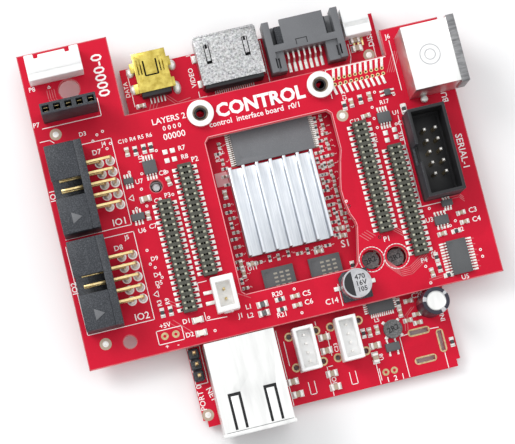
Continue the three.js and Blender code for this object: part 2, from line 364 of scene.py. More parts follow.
def dome_model(radius, height):
    """A low blob of solder on a pad."""
    dome = rod("dome", (0, 0, 0), (0, 0, height * 0.4), radius, 16)
    pick(dome, "FACE", faces_up)
    extrude(0, 0, height * 0.6)
    stretch_by((0.55, 0.55, 1))
    finish_edit()
    bpy.ops.object.shade_smooth_by_angle(angle=math.radians(80))
    return dome


def pin_model(side, low, high):
    """A square pin with a bevelled tip."""
    half = side / 2
    pin = block("pin", (-half, -half, low), (half, half, high - side * 0.4))
    pick(pin, "FACE", faces_up)
    extrude(0, 0, side * 0.4)
    stretch_by((0.45, 0.45, 1))
    finish_edit()
    return pin


def passive_model(length, width, height, body, cap_share=0.24):
    """A two-ended part on its pads: a body, two metal ends and the solder under them."""
    half = length / 2
    inner = half - length * cap_share
    part = block("passive", (-inner, -width / 2, 0.06), (inner, width / 2, height))
    soften(part, 0.04, 1)
    coat(part, body)
    ends = []
    for side in (-1, 1):
        x0, x1 = sorted((side * inner, side * half))
        rim = 0.03
        end = block("end", (x0, -width / 2 - rim, 0.05), (x1, width / 2 + rim, height + rim))
        soften(end, 0.07, 2)
        x0, x1 = sorted((side * (inner - 0.12), side * (half + 0.32)))
        pad = block("pad", (x0, -width / 2 - 0.12, 0), (x1, width / 2 + 0.12, 0.07))
        pick(pad, "FACE", faces_up)
        inset(0.06)
        extrude(-side * 0.05, 0, height * 0.3)
        stretch_by((0.55, 0.9, 1), side * inner)
        finish_edit()
        coat(end, "solder")
        coat(pad, "solder")
        ends += [end, pad]
    return joined("passive", [part] + ends)


def bend(bar, way, reach, level):
    """Pulls the end face of a flat bar on to a new reach along its way and a new level."""
    end = max(point.co.dot(way) for point in bar.data.vertices) / MM
    tip = [p.co.z / MM for p in bar.data.vertices if p.co.dot(way) > (end - 0.01) * MM]
    pick(bar, "FACE", lambda face: face.center.dot(way) > (end - 0.001) * MM)
    extrude(*(way * (reach - end) + Vector((0, 0, level - min(tip)))))
    finish_edit()


def leads_model(side_count, pitch, inner, outer, width, height):
    """Two rows of bent leads that stand out of a chip along X, their feet at z 0."""
    thick = 0.16
    shoulder = inner + (outer - inner) * 0.35
    knee = inner + (outer - inner) * 0.55
    lead = block("lead", (inner - 0.2, -width / 2, height), (shoulder, width / 2, height + thick))
    for x, z in ((knee, 0.02), (outer, 0.02)):
        bend(lead, Vector((1, 0, 0)), x, z)
    coat(lead, "solder")
    places = []
    for i in range(side_count):
        y = (i - (side_count - 1) / 2) * pitch
        places += [place(0, y), place(0, y, 0, 180)]
    row = scatter("leads", lead, places)
    half = width / 2 + 0.06
    pad = block("pad", (knee - 0.1, -half, -0.02), (outer + 0.25, half, 0.03))
    coat(pad, "solder")
    pads = scatter("lead_pads", pad, places)
    return joined("leads", [row, pads])


def lettering(name, rows, finish="ink", bold=0.0, z=PLUG_TOP):
    """Flat words: each row has its text, its middle, its height and its turn in degrees."""
    words = []
    for text, x, y, height, turn in rows:
        bpy.ops.object.select_all(action="DESELECT")
        bpy.ops.object.text_add(rotation=(0, 0, math.radians(turn)))
        word = bpy.context.active_object
        word.data.body = text
        word.data.size = height * 1.38 * MM
        word.data.align_x = "CENTER"
        word.data.align_y = "CENTER"
        word.data.resolution_u = 2
        word.data.offset = bold * MM
        word.data.extrude = 0.012 * MM
        bpy.ops.object.convert(target="MESH")
        word = bpy.context.active_object
        word.location = Vector((x, y, z + 0.012)) * MM
        bpy.ops.object.transform_apply(location=True, rotation=True, scale=True)
        words.append(word)
    sign = joined(name, words)
    return coat(sign, finish)


# Shader helpers
class Wire:
    """A shader socket that can be used in sums and products like a number."""

    def __init__(self, finish, socket):
        self.finish = finish
        self.socket = socket

    def math(self, operation, first, second):
        return self.finish.node("ShaderNodeMath", {"operation": operation}, {0: first, 1: second})

    def __add__(self, other):
        return self.math("ADD", self, other)

    def __mul__(self, other):
        return self.math("MULTIPLY", self, other)

    def size(self):
        return self.math("ABSOLUTE", self, 0)

    def wave(self):
        return self.math("SINE", self, 0)


class Finish:
    """A material whose shader is fed by wires."""

    def __init__(self, name, **fixed):
        self.material = bpy.data.materials.new(name)
        self.material.use_nodes = True
        self.nodes = self.material.node_tree.nodes
        self.links = self.material.node_tree.links
        self.shader = self.nodes["Principled BSDF"]
        for socket, value in fixed.items():
            self.shader.inputs[socket.replace("_", " ")].default_value = value

    def node(self, kind, settings=None, sockets=None, output=0):
        made = self.nodes.new(kind)
        for setting, value in (settings or {}).items():
            setattr(made, setting, value)
        for key, value in (sockets or {}).items():
            self.plug(made.inputs[key], value)
        return Wire(self, made.outputs[output])

    def plug(self, socket, value):
        if isinstance(value, Wire):
            self.links.new(value.socket, socket)
        else:
            socket.default_value = value

    def feed(self, name, wire):
        self.plug(self.shader.inputs[name], wire)

    def places(self, stretch=(1, 1, 1)):
        where = self.node("ShaderNodeTexCoord", output="Object")
        return self.node("ShaderNodeMapping", None, {"Vector": where, "Scale": stretch})

    def axes(self):
        return [
            self.node("ShaderNodeSeparateXYZ", None, {0: self.places()}, output=axis)
            for axis in range(3)
        ]

    def facing(self, axis):
        normal = self.node("ShaderNodeNewGeometry", output="Normal")
        return self.node("ShaderNodeSeparateXYZ", None, {0: normal}, output=axis)

    def noise(self, per_mm, detail=3.0, rough=0.55, stretch=(1, 1, 1)):
        sockets = {"Vector": self.places(stretch), "Scale": per_mm / MM, "Detail": detail,
                   "Roughness": rough}
        return self.node("ShaderNodeTexNoise", None, sockets)

    def cells(self, per_mm, output="Distance"):
        sockets = {"Vector": self.places(), "Scale": per_mm / MM}
        return self.node("ShaderNodeTexVoronoi", None, sockets, output)

    def steps(self, wire, low, high, out_low=0.0, out_high=1.0):
        sockets = {"Value": wire, "From Min": low, "From Max": high, "To Min": out_low,
                   "To Max": out_high}
        return self.node("ShaderNodeMapRange", {"clamp": True}, sockets)

    def blend(self, factor, first, second):
        """Mixes two colours."""
        sockets = {0: factor, 6: first, 7: second}
        return self.node("ShaderNodeMix", {"data_type": "RGBA"}, sockets, output=2)

    def bump(self, height, strength, depth_mm):
        sockets = {"Height": height, "Strength": strength, "Distance": depth_mm * MM}
        self.feed("Normal", self.node("ShaderNodeBump", None, sockets))


def shade(colour, factor):
    """A colour made lighter or darker."""
    return tuple(min(1.0, part * factor) for part in colour[:3]) + (1.0,)


def colours():
    return bpy.context.scene.board_colours


# Finishes
def mask_red():
    """Crimson solder mask on laminate whose cut edges stay pale."""
    base = tuple(colours().mask)
    finish = Finish("mask_red", IOR=1.22)
    pour = finish.steps(finish.noise(0.09, 2.0, 0.4), 0.47, 0.53)
    tone = finish.blend(pour, shade(base, 0.97), shade(base, 1.05))
    grain = finish.noise(2.5, 4.0, 0.6)
    tone = finish.blend(finish.steps(grain, 0.3, 0.75, 0.0, 0.18), tone, shade(base, 0.72))
    x, y, z = finish.axes()
    layers = finish.steps((z * (9.0 / MM)).wave(), -1.0, 1.0, 0.0, 0.35)
    laminate = finish.blend(layers, (0.80, 0.30, 0.30, 1), (0.62, 0.16, 0.17, 1))
    edge = finish.steps(finish.facing(2).size(), 0.3, 0.6, 1.0, 0.0)
    finish.feed("Base Color", finish.blend(edge, tone, laminate))
    rough = finish.steps(grain, 0.3, 0.7, 0.34, 0.46)
    finish.feed("Roughness", rough + edge * 0.25)
    weave = (x * (7.0 / MM)).wave() * (y * (7.0 / MM)).wave()
    finish.bump(weave * 0.5 + grain, 0.25, 0.02)
    return finish.material


def mask_raised():
    """Solder mask where it runs over copper."""
    base = tuple(colours().mask)
    finish = Finish("mask_raised", IOR=1.3)
    patch = finish.noise(0.6, 3.0)
    light = tuple(part * 0.82 + 0.10 for part in base[:3]) + (1.0,)
    lighter = tuple(part * 0.78 + 0.18 for part in base[:3]) + (1.0,)
    finish.feed("Base Color", finish.blend(finish.steps(patch, 0.35, 0.65), light, lighter))
    finish.feed("Roughness", finish.steps(patch, 0.3, 0.7, 0.3, 0.42))
    return finish.material


def ink():
    """White legend ink, a little thin in places."""
    finish = Finish("ink", IOR=1.45)
    wear = finish.noise(4.0, 4.0, 0.7)
    thin = finish.steps(wear, 0.62, 0.78, 0.0, 0.55)
    finish.feed("Base Color", finish.blend(thin, (0.94, 0.90, 0.89, 1), (0.86, 0.35, 0.38, 1)))
    finish.feed("Roughness", finish.steps(wear, 0.3, 0.7, 0.5, 0.68))
    return finish.material


def metal(name, base, dark, rough, per_mm, stretch=(1, 1, 1), depth=0.01, metallic=1.0):
    """A bare metal with patches of a darker tone: METALS holds these values by name."""
    finish = Finish(name, Metallic=metallic)
    patch = finish.noise(per_mm, 4.0, 0.6, stretch)
    finish.feed("Base Color", finish.blend(finish.steps(patch, 0.35, 0.7), (*base, 1), (*dark, 1)))
    finish.feed("Roughness", finish.steps(patch, 0.3, 0.7, rough - 0.05, rough + 0.1))
    finish.bump(patch, 0.3, depth)
    return finish.material


METALS = {
    "solder": ((0.90, 0.88, 0.85), (0.66, 0.64, 0.60), 0.32, 1.6, (1, 1, 1), 0.03, 0.5),
    "gold_plate": ((0.80, 0.64, 0.33), (0.60, 0.45, 0.20), 0.26, 1.2),
    "dull_gold": ((0.58, 0.45, 0.26), (0.40, 0.30, 0.16), 0.4, 2.0),
    "contact_leaf": ((0.56, 0.55, 0.43), (0.24, 0.24, 0.18), 0.4, 3.0, (1, 1, 1), 0.01, 0.5),
    "pressed_gold": ((0.64, 0.52, 0.13), (0.38, 0.28, 0.05), 0.26, 0.7),
    "satin_nickel": ((0.78, 0.78, 0.765), (0.70, 0.70, 0.69), 0.33, 0.6, (1.0, 0.12, 1.0)),
    # A dark steel that paints shade: on the fin ends, at a socket mouth, round the button and along
    # the jack's folds.
    "painted_shade_steel": ((0.30, 0.30, 0.305), (0.14, 0.14, 0.145), 0.4, 1.6, (0.2, 1.0, 1.0)),
    # A darker tan metal that paints shade in the chamfers and bores of the standoffs.
    "chamfer_shade_metal": ((0.40, 0.34, 0.27), (0.24, 0.19, 0.14), 0.3, 0.9),
    "drawn_can": ((0.50, 0.50, 0.51), (0.38, 0.38, 0.40), 0.28, 0.8),
}


def spangled_steel():
    """Zinc-coated sheet with crystals of different greys."""
    finish = Finish("spangled_steel", Metallic=1.0)
    crystal = finish.noise(2.2, 6.0, 0.8)
    flake = finish.cells(2.0, "Color")
    bright = finish.steps(crystal, 0.36, 0.62)
    tone = finish.blend(bright, (0.15, 0.15, 0.155, 1), (0.68, 0.68, 0.68, 1))
    grey = finish.blend(0.18, tone, flake)
    finish.feed("Base Color", finish.blend(0.9, grey, tone))
    finish.feed("Roughness", finish.steps(crystal, 0.3, 0.7, 0.22, 0.42))
    finish.bump(crystal, 0.35, 0.02)
    return finish.material


def extruded_aluminium():
    """Anodised extrusion with die lines along its length."""
    finish = Finish("extruded_aluminium", Metallic=1.0)
    lines = finish.noise(6.0, 3.0, 0.6, (1, 0.02, 1))
    cloud = finish.noise(0.25, 3.0)
    grooves = finish.steps(lines, 0.3, 0.7)
    tone = finish.blend(grooves, (0.78, 0.80, 0.83, 1), (0.62, 0.65, 0.69, 1))
    dull = finish.steps(cloud, 0.4, 0.7, 0, 0.3)
    finish.feed("Base Color", finish.blend(dull, tone, (0.56, 0.60, 0.65, 1)))
    finish.feed("Roughness", finish.steps(lines, 0.3, 0.7, 0.32, 0.46))
    finish.bump(lines, 0.3, 0.02)
    return finish.material


def moulding(name, base, speck, rough, per_mm=5.0, amount=0.5, depth=0.02, **fixed):
    """A plastic with a fine grain: MOULDINGS holds these values by name."""
    finish = Finish(name, IOR=1.48, **fixed)
    grain = finish.noise(per_mm, 4.0, 0.7)
    cloud = finish.noise(0.3, 2.0)
    tone = finish.blend(finish.steps(grain, 0.45, 0.75, 0.0, amount), (*base, 1), (*speck, 1))
    cloudy = finish.steps(cloud, 0.4, 0.7, 0.0, 0.25)
    finish.feed("Base Color", finish.blend(cloudy, tone, shade(base, 0.8)))
    finish.feed("Roughness", finish.steps(grain, 0.3, 0.7, rough - 0.06, rough + 0.08))
    finish.bump(grain, 0.3, depth)
    return finish.material


MOULDINGS = {
    "pale_rim": ((0.80, 0.36, 0.38), (0.88, 0.55, 0.56), 0.5),
    "header_black": ((0.013, 0.016, 0.022), (0.15, 0.16, 0.18), 0.5, 4.0, 0.75),
    "deep_black": ((0.010, 0.010, 0.012), (0.03, 0.03, 0.033), 0.55),
    "chip_epoxy": ((0.085, 0.088, 0.092), (0.15, 0.155, 0.16), 0.55, 6.0, 0.6),
    # A lighter copy of chip_epoxy for the flash chip: painted sheen on its top.
    "sheen_lit_epoxy": ((0.15, 0.155, 0.165), (0.26, 0.265, 0.275), 0.5, 6.0, 0.6),
    "laser_mark": ((0.34, 0.32, 0.26), (0.44, 0.42, 0.36), 0.65),
    "slate_grey": ((0.13, 0.133, 0.142), (0.22, 0.225, 0.235), 0.42),
    "strip_olive": ((0.055, 0.055, 0.042), (0.15, 0.15, 0.115), 0.55, 4.0, 0.7),
    "ferrite": ((0.09, 0.09, 0.09), (0.36, 0.36, 0.36), 0.6, 3.0, 0.8, 0.05),
    "ceramic_tan": ((0.48, 0.37, 0.27), (0.60, 0.50, 0.40), 0.42, 3.0, 0.6),
    "ceramic_brown": ((0.20, 0.11, 0.07), (0.34, 0.22, 0.15), 0.42, 3.0, 0.6),
    "resistor_black": ((0.03, 0.03, 0.035), (0.16, 0.16, 0.16), 0.35, 3.0, 0.5),
    "light_emitter": ((0.86, 0.84, 0.76), (0.75, 0.74, 0.60), 0.2, 2.0, 0.5),
    "sleeve_dark": ((0.012, 0.011, 0.025), (0.04, 0.038, 0.07), 0.38, 1.5, 0.5),
    "pad_grey": ((0.3, 0.3, 0.3), (0.42, 0.42, 0.42), 0.75, 3.0, 0.5),
}


def nylon_white():
    base = tuple(colours().nylon)[:3]
    return moulding("nylon_white", base, shade(base, 0.98)[:3], 0.42, 2.0, 0.4,
                    Subsurface_Weight=0.45, Subsurface_Scale=0.003,
                    Subsurface_Radius=(1.0, 0.98, 0.94))


def studio_white():
    finish = Finish("studio_white", Roughness=0.8)
    cloud = finish.noise(0.004, 2.0)
    finish.feed("Base Color", finish.blend(cloud, (0.93, 0.93, 0.93, 1), (0.91, 0.91, 0.91, 1)))
    return finish.material


OTHER_FINISHES = {
    "mask_red": mask_red, "mask_raised": mask_raised, "ink": ink, "spangled_steel": spangled_steel,
    "extruded_aluminium": extruded_aluminium, "nylon_white": nylon_white,
    "studio_white": studio_white,
}


def finish_named(name):
    """Makes a finish the first time that a piece asks for it."""
    if name not in bpy.data.materials:
        if name in METALS:
            metal(name, *METALS[name])
        elif name in MOULDINGS:
            moulding(name, *MOULDINGS[name])
        else:
            OTHER_FINISHES[name]()
    return bpy.data.materials[name]


# Circuit boards
PLUG_HOLES = [(-42.1, 39.4, 2.4), (-41.9, -19.5, 1.5), (-28.1, 13.3, 1.45)]
PLUG_FIDUCIALS = [(-47.4, 30.0), (-47.3, -18.7), (16.9, 19.3)]
MAIN_FIDUCIALS = [(-28.7, -39.3), (27.1, 32.5)]
MAIN_HOLE_X = [-6.8, -0.5, 2.95, 9.5]
MAIN_HOLE_Y = [-26.6, -33.75]
PLUG_OUTLINE = [
    (-52.0, 49.3), (-52.0, -23.6), (43.7, -23.6), (43.7, 36.6), (30.1, 36.6), (30.1, 30.6),
    (-31.35, 30.6), (-31.35, 49.3), (-52.0, 49.3),
]
WINDOW_OUTLINE = [
    (-15.1, 20.4), (-15.1, -14.4), (-14.3, -15.25), (11.1, -15.25), (12.2, -14.1), (14.05, -6.0),
    (13.85, -4.7), (13.15, -3.0), (12.55, 0.4), (12.45, 2.8), (12.95, 5.2), (13.95, 9.3),
    (14.75, 11.9), (14.75, 20.5), (13.7, 21.55), (-14.1, 21.55), (-15.1, 20.4),
]


def clear_finish(node):
    """A CAD node that stays in view, with no material yet."""
    part = frame["nodes"][node]
    part.data.materials.clear()
    return part


def dress_boards():
    for node in ("main_board_pcb", "interface_board_pcb"):
        coat(clear_finish(node), "mask_red")


def fiducials(name, spots, z, body):
    """Bright round targets, each in a clear ring of bare laminate."""
    clear = ring_model(1.35, 0.75, 0.02, 24)
    coat(clear, "ceramic_tan")
    dot = dome_model(0.72, 0.06)
    coat(dot, "solder")
    places = [place(x, y, z) for x, y in spots]
    rings = scatter(name + "_rings", clear, places)
    dots = scatter(name + "_dots", dot, places)
    hand_over(joined(name, [rings, dots]), body, "shell_tin")


def plated_rings(name, rings, z, body, finish="dull_gold", height=0.04):
    """Metal rings round holes: each has a middle and its inner and outer radius."""
    pieces = []
    for x, y, inner, outer in rings:
        ring = ring_model(outer, inner, height, 20)
        ring.data.transform(place(x, y, z))
        pieces.append(ring)
    hand_over(coat(joined(name, pieces), finish), body, "shell_tin")


INLET_SLOTS = [(22.3, -32.3, 0, 4.4), (22.3, -38.8, 0, 4.4), (26.85, -35.5, 90, 4.6)]


def slot_rims():
    """Gold rims round the three long slots of the power inlet."""
    rims = []
    for x, y, turn, length in INLET_SLOTS:
        half = length / 2
        rim = block("rim", (-half - 0.4, -0.85, 0), (half + 0.4, 0.85, 0.05))
        soften_corners(rim, 0.83)
        tool = block("tool", (-half, -0.5, -1), (half, 0.5, 1))
        carve(rim, tool)
        rim.data.transform(place(x, y, MAIN_TOP, turn))
        rims.append(rim)
    hand_over(coat(joined("inlet_slot_rims", rims), "dull_gold"), MAIN, "shell_gold")


def soften_corners(piece, radius):
    """Rounds the upright edges of a flat plate."""
    pick(piece, "EDGE", lambda edge: upright(piece, edge))
    bpy.ops.mesh.bevel(offset=radius * MM, segments=5)
    finish_edit()
    return piece


def upright(piece, edge):
    first, second = (piece.data.vertices[i].co for i in edge.vertices)
    return abs(first.z - second.z) > 0.9 * (first - second).length


def outlines():
    """Copper that shows paler along the edges of the boards and the window."""
    draw_lines("interface_board_rim", [PLUG_OUTLINE], PLUG_TOP, 0.16, 0.015, "mask_raised", PLUG)
    draw_lines("window_rim", [WINDOW_OUTLINE], PLUG_TOP, 0.15, 0.02, "pale_rim", PLUG)


PLUG_LEGEND = [
    [(-50.6, 26.4), (-35.5, 26.4), (-35.5, 6.1), (-50.6, 6.1)],
    [(-50.6, 4.5), (-35.45, 4.5), (-35.45, -15.9), (-50.7, -15.9), (-51.0, 4.5)],
    rectangle(-35.75, -21.75, -29.95, -18.65),
    [(-22.2, -10.2), (-24.3, -10.2), (-24.3, -12.0)],
    [(-24.3, -17.0), (-24.3, -18.9), (-19.6, -19.1)],
    [(29.3, 16.4), (29.3, -5.2), (34.0, -5.2)],
    [(-50.0, 31.9), (-36.4, 31.9), (-36.4, 36.0)],
    [(-51.2, 29.0), (-49.0, 29.0), (-48.2, 28.2)],
    [(6.4, -22.8), (6.4, -17.9)],
    [(31.6, 22.0), (31.6, 33.8)],
    [(-46.8, 40.7), (-46.1, 40.7), (-46.45, 41.3), (-46.8, 40.7)],
    [(-33.7, 12.6), (-34.8, 11.9), (-33.7, 11.2), (-33.7, 12.6)],
    [(-33.3, -9.8), (-34.4, -10.5), (-33.3, -11.2), (-33.3, -9.8)],
    rectangle(30.4, 16.4, 31.6, 18.8),
    [(15.6, 29.6), (15.6, 30.4), (29.8, 30.4)],
    [(15.6, 23.7), (15.6, 24.8)],
]
PLUG_RINGS = [(15.3, -14.2, 2.85), (21.0, -14.8, 2.85), (18.3, -9.7, 0.3), (13.2, -1.2, 0.3)]
MAIN_LEGEND = [
    [(-9.4, -24.6), (-9.4, -41.8)], [(-8.2, -27.4), (-8.2, -32.9)],
    [(-0.2, -24.6), (-0.2, -25.4)], [(0.0, -35.2), (0.0, -41.8)], [(1.7, -27.4), (1.7, -32.9)],
    [(11.0, -36.2), (11.0, -41.8)], [(17.75, -32.5), (17.75, -41.8)],
    [(16.3, -40.7), (16.3, -41.8)],
    [(26.9, -38.4), (26.9, -41.8)],
    [(17.75, -32.5), (19.6, -32.3)], [(24.9, -32.3), (26.9, -32.4)],
    [(-28.4, 41.8), (-28.4, 33.0)], [(-29.8, 31.0), (-28.0, 31.0)],
    [(-14.2, 41.8), (-13.2, 41.8), (-13.2, 39.8)], [(-13.4, 33.0), (-13.4, 31.6), (-11.8, 31.6)],
    [(28.6, 41.6), (28.6, 31.0)], [(3.2, 41.6), (3.2, 31.6), (4.2, 31.2)],
    [(22.4, 31.6), (22.9, 33.0), (22.9, 36.0)],
    rectangle(-29.8, -32.2, -27.0, -23.6),
    [(11.4, -38.4), (11.4, -41.0)], [(-5.0, -37.6), (-5.0, -40.4), (-3.6, -40.4), (-3.6, -37.6)],
    [(4.6, -37.6), (4.6, -40.4), (6.0, -40.4), (6.0, -37.6)],
]


def legends():
    """White lines and rings of the two boards' legends."""
    rings = [circle_line(x, y, radius) for x, y, radius in PLUG_RINGS]
    draw_lines("interface_board_lines", PLUG_LEGEND + rings, PLUG_TOP, 0.17, 0.015, "ink", PLUG)
    draw_lines("main_board_lines", MAIN_LEGEND, MAIN_TOP, 0.17, 0.015, "ink", MAIN)


PLUG_WORDS = [
    ("control  interface board  r0/1", -2.45, 24.1, 1.3, 0), ("P1", 19.8, -10.5, 1.2, 0),
    ("P2", -18.2, 17.3, 1.2, 0), ("P3", -26.1, 10.7, 1.1, 0), ("P4", 26.8, -17.2, 1.1, 0),
    ("C10", -33.1, 25.0, 0.95, 0), ("R4", -30.8, 25.0, 0.95, 0), ("R5", -28.9, 25.0, 0.95, 0),
    ("R6", -27.0, 25.0, 0.95, 0), ("R7", -20.5, 20.5, 1.1, 0), ("R8", -20.3, 18.4, 1.1, 0),
    ("C8", -26.0, 15.9, 1.1, 0), ("C9", -28.5, 10.0, 1.1, 0), ("U2", -30.0, 20.2, 1.0, 90),
    ("U7", -31.6, 15.2, 1.1, 0), ("U6", -33.5, 4.2, 1.1, 0), ("C7", -30.9, 4.6, 1.1, 0),
    ("J4", -37.4, 25.4, 1.0, 0), ("D7", -39.4, 23.9, 1.2, 0), ("IO1", -37.9, 7.3, 1.6, 0),
    ("J5", -37.2, 3.5, 1.0, 0), ("D8", -39.6, 1.6, 1.2, 0), ("IO2", -38.0, -14.6, 1.6, 0),
    ("D3", -41.5, 28.7, 1.0, 0), ("D4", -32.5, -6.3, 1.0, 0), ("D5", -32.6, -8.2, 1.0, 0),
    ("D9", -32.3, -2.6, 1.0, 0), ("R3", -33.5, -12.6, 1.0, 90), ("R9", -31.7, -12.6, 1.0, 90),
    ("+5V", -33.5, -17.8, 1.1, 0), ("+", -34.1, -22.5, 1.0, 0), ("-", -31.6, -22.6, 1.0, 0),
    ("IO2", -51.15, -5.0, 1.3, 90), ("IO1", -51.15, 16.5, 1.3, 90), ("P8", -50.3, 41.2, 1.1, 0),
    ("P7", -51.2, 33.0, 1.1, 0), ("D1", -28.6, -18.0, 1.1, 0), ("D2", -28.6, -21.1, 1.1, 0),
    ("J1", -16.5, -19.6, 1.1, 0), ("L1", -14.3, -18.1, 1.1, 0), ("L2", -14.4, -20.1, 1.1, 0),
    ("R20", -7.4, -16.8, 1.1, 0), ("R21", -7.4, -21.6, 1.1, 0), ("C5", -0.9, -18.2, 1.2, 0),
    ("C6", -0.9, -20.2, 1.2, 0), ("C14", 4.2, -21.3, 1.3, 0), ("U4", 32.5, -3.7, 1.0, 0),
    ("U3", 30.3, -8.6, 1.1, 0), ("C3", 40.5, -8.6, 1.2, 0), ("C4", 40.8, -10.8, 1.2, 0),
    ("R12", 36.3, -12.3, 1.0, 0), ("C2", 29.3, -16.5, 1.1, 90), ("U5", 35.0, -23.0, 1.1, 0),
    ("SERIAL-1", 41.6, 5.0, 1.6, -90), ("BUS 2", 40.9, 19.3, 1.4, 90),
    ("C12", 19.3, 17.4, 1.0, 0), ("U1", 29.0, 17.2, 1.0, 0), ("R15", 22.9, 12.6, 1.0, 90),
    ("R16", 28.9, 11.6, 1.0, 90), ("C13", 18.4, 23.6, 0.9, 90), ("R17", 27.0, 20.2, 1.0, 0),
    ("J6", 31.5, 34.8, 1.1, 0), ("C1", 29.6, 14.6, 1.0, 0), ("LAYERS 2", -21.8, 27.6, 1.4, 0),
    ("0 0 0 0", -21.5, 25.7, 1.1, 0), ("00000", -21.4, 23.7, 1.5, 0),
]
MAIN_WORDS = [
    ("HOST 2", -10.3, -29.6, 1.3, 90), ("HOST 1", 0.9, -37.4, 1.1, 90),
    ("NET", -26.9, -35.0, 1.3, -75), ("PORT 0", -29.2, -35.2, 1.3, 90),
    ("VIDEO", -14.0, 36.6, 1.15, 90), ("DATA", -29.3, 37.2, 1.0, 90),
    ("DISK 5V", 28.3, 37.4, 1.3, 90), ("C20", 24.0, -24.2, 1.2, 0), ("INPUT", 28.4, -29.2, 1.1, 90),
    ("1  2", 13.7, -41.3, 1.2, 0), ("L5", 13.6, -27.6, 0.9, 0),
    ("U8", 12.6, -35.9, 0.9, 90), ("C32", -10.7, -36.5, 1.0, 90), ("C33", 3.1, -31.4, 0.9, 90),
    ("S1", 11.0, -8.9, 1.7, 0), ("C51", 4.8, -8.4, 0.9, 0), ("R31", -12.8, 17.2, 1.0, 90),
    ("C114", -11.6, 19.0, 0.9, 90), ("U11", -11.0, -9.4, 1.0, 0), ("R35", 12.2, 17.5, 0.8, 90),
]


def words():
    """Printed designators and names, all of them general ones."""
    title = lettering("interface_board_title", [("CONTROL", -0.6, 26.75, 3.1, 0)], "ink", 0.16)
    hand_over(title, PLUG, "board_red")
    number = lettering("interface_board_number", [("0000-0", -34.4, 41.0, 2.6, 90)], "ink", 0.05)
    hand_over(number, PLUG, "board_red")
    hand_over(lettering("interface_board_words", PLUG_WORDS, "ink", 0.02), PLUG, "board_red")
    words_below = lettering("main_board_words", MAIN_WORDS, "ink", 0.02, MAIN_TOP)
    hand_over(words_below, MAIN, "board_red")


def fan_of_tracks(starts, steps, shift, count):
    """Lines side by side: one line and its neighbours, each moved by the same shift."""
    lines = []
    for i in range(count):
        dx, dy = shift[0] * i, shift[1] * i
        line = [(starts[0] + dx, starts[1] + dy)]
        for x, y in steps:
            line.append((line[-1][0] + x, line[-1][1] + y))
        lines.append(line)
    return lines


PLUG_TRACKS = [
    ((27.8, -16.9), [(-4.3, -2.6), (-2.4, 0.0), (-2.9, 3.2)], (-0.05, 0.42), 5),
    ((14.0, -8.3), [(1.6, -1.6)], (0.6, 0.25), 4),
    ((22.0, -8.0), [(1.8, -1.6)], (-0.1, -0.5), 3),
    ((29.4, 26.8), [(2.4, 4.4)], (0.5, -0.1), 4),
    ((-46.6, 36.8), [(-0.5, 1.4), (0.0, 2.0)], (0.55, 0.0), 4),
    ((-32.8, -17.0), [(3.4, -3.4)], (1.3, 0.0), 2),
    ((-31.6, -13.2), [(4.4, -3.0), (1.4, 0.0)], (0.4, 0.5), 2),
    ((36.2, -5.0), [(2.0, 0.0), (1.0, -1.2)], (0.0, 0.5), 3),
    ((37.4, -14.6), [(1.6, -0.3)], (0.0, -1.3), 6),
    ((-17.0, -14.0), [(3.6, -2.2)], (0.0, 0.0), 1),
    ((27.0, -22.0), [(6.0, 0.4), (4.0, 0.0)], (0.0, 0.4), 2),
]
MAIN_TRACKS = [
    ((-24.4, 33.5), [(-1.0, -2.2), (-2.6, 0.0)], (0.8, 0.0), 3),
    ((-21.0, 33.6), [(2.4, -2.6), (3.0, 0.4)], (0.0, 0.8), 2),
    ((22.0, -26.6), [(-2.0, -1.6), (-0.6, -3.2)], (0.6, 0.0), 2),
]


def tracks():
    """Copper tracks that show through the solder mask."""
    for name, rows, level, width, body in (
        ("interface_board_tracks", PLUG_TRACKS, PLUG_TOP, 0.16, PLUG),
        ("main_board_tracks", MAIN_TRACKS, MAIN_TOP, 0.18, MAIN),
    ):
        lines = [line for row in rows for line in fan_of_tracks(*row)]
        draw_lines(name, lines, level, width, 0.012, "mask_raised", body)


PLUG_VIAS = [
    (-36.9, 24.2), (-35.9, 25.2), (-39.6, 26.6), (-38.4, 27.8), (-37.0, 28.3), (-26.2, 21.2),
    (-25.0, 15.9), (-31.5, 13.4), (-33.3, 17.8), (-27.9, 10.2), (-30.6, 16.8), (-24.9, 10.6),
    (-33.6, 9.4), (-31.2, 9.4), (-33.5, -0.4), (-33.5, -3.6), (-32.6, -4.6), (-31.6, -7.1),
    (-32.9, -9.0), (-23.6, -18.3), (-22.9, -21.5), (-3.4, -16.6), (-3.0, -22.2), (18.2, 20.9),
    (24.0, 19.6), (23.8, 17.0), (24.0, 14.8), (28.4, 14.6), (25.4, 22.9), (32.5, -1.2),
    (30.9, -6.0), (32.6, -11.0), (34.6, -10.9), (36.0, -10.1), (27.0, -22.5), (26.8, -18.6),
    (39.9, -17.8), (40.0, -19.4), (12.9, 0.0), (28.2, 24.9), (29.6, 21.4),
]


def vias():
    """Small plated holes, filled with mask, and the white rings drawn round some."""
    ring = coat(ring_model(0.34, 0.17, 0.03, 12), "ink")
    places = [place(x, y, PLUG_TOP) for x, y in PLUG_VIAS]
    lay("interface_board_vias", ring, places, PLUG, "shell_tin")
    rows = [(x, y, 0.65, 1.02) for x in MAIN_HOLE_X for y in MAIN_HOLE_Y]
    plated_rings("host_fixing_rings", rows, MAIN_TOP, MAIN)
    rings = [(-34.1, -20.1, 0.36, 0.85), (-31.6, -20.2, 0.36, 0.85)]
    plated_rings("supply_pads", rings, PLUG_TOP, PLUG)
    rings = [(12.7, -39.5, 0.36, 0.8), (14.7, -39.5, 0.36, 0.8)]
    plated_rings("link_pads", rings, MAIN_TOP, MAIN)
    thin = [(x, y, radius + 0.02, radius + 0.16) for x, y, radius in PLUG_HOLES]
    plated_rings("hole_rims", thin, PLUG_TOP, PLUG, "mask_raised", 0.02)


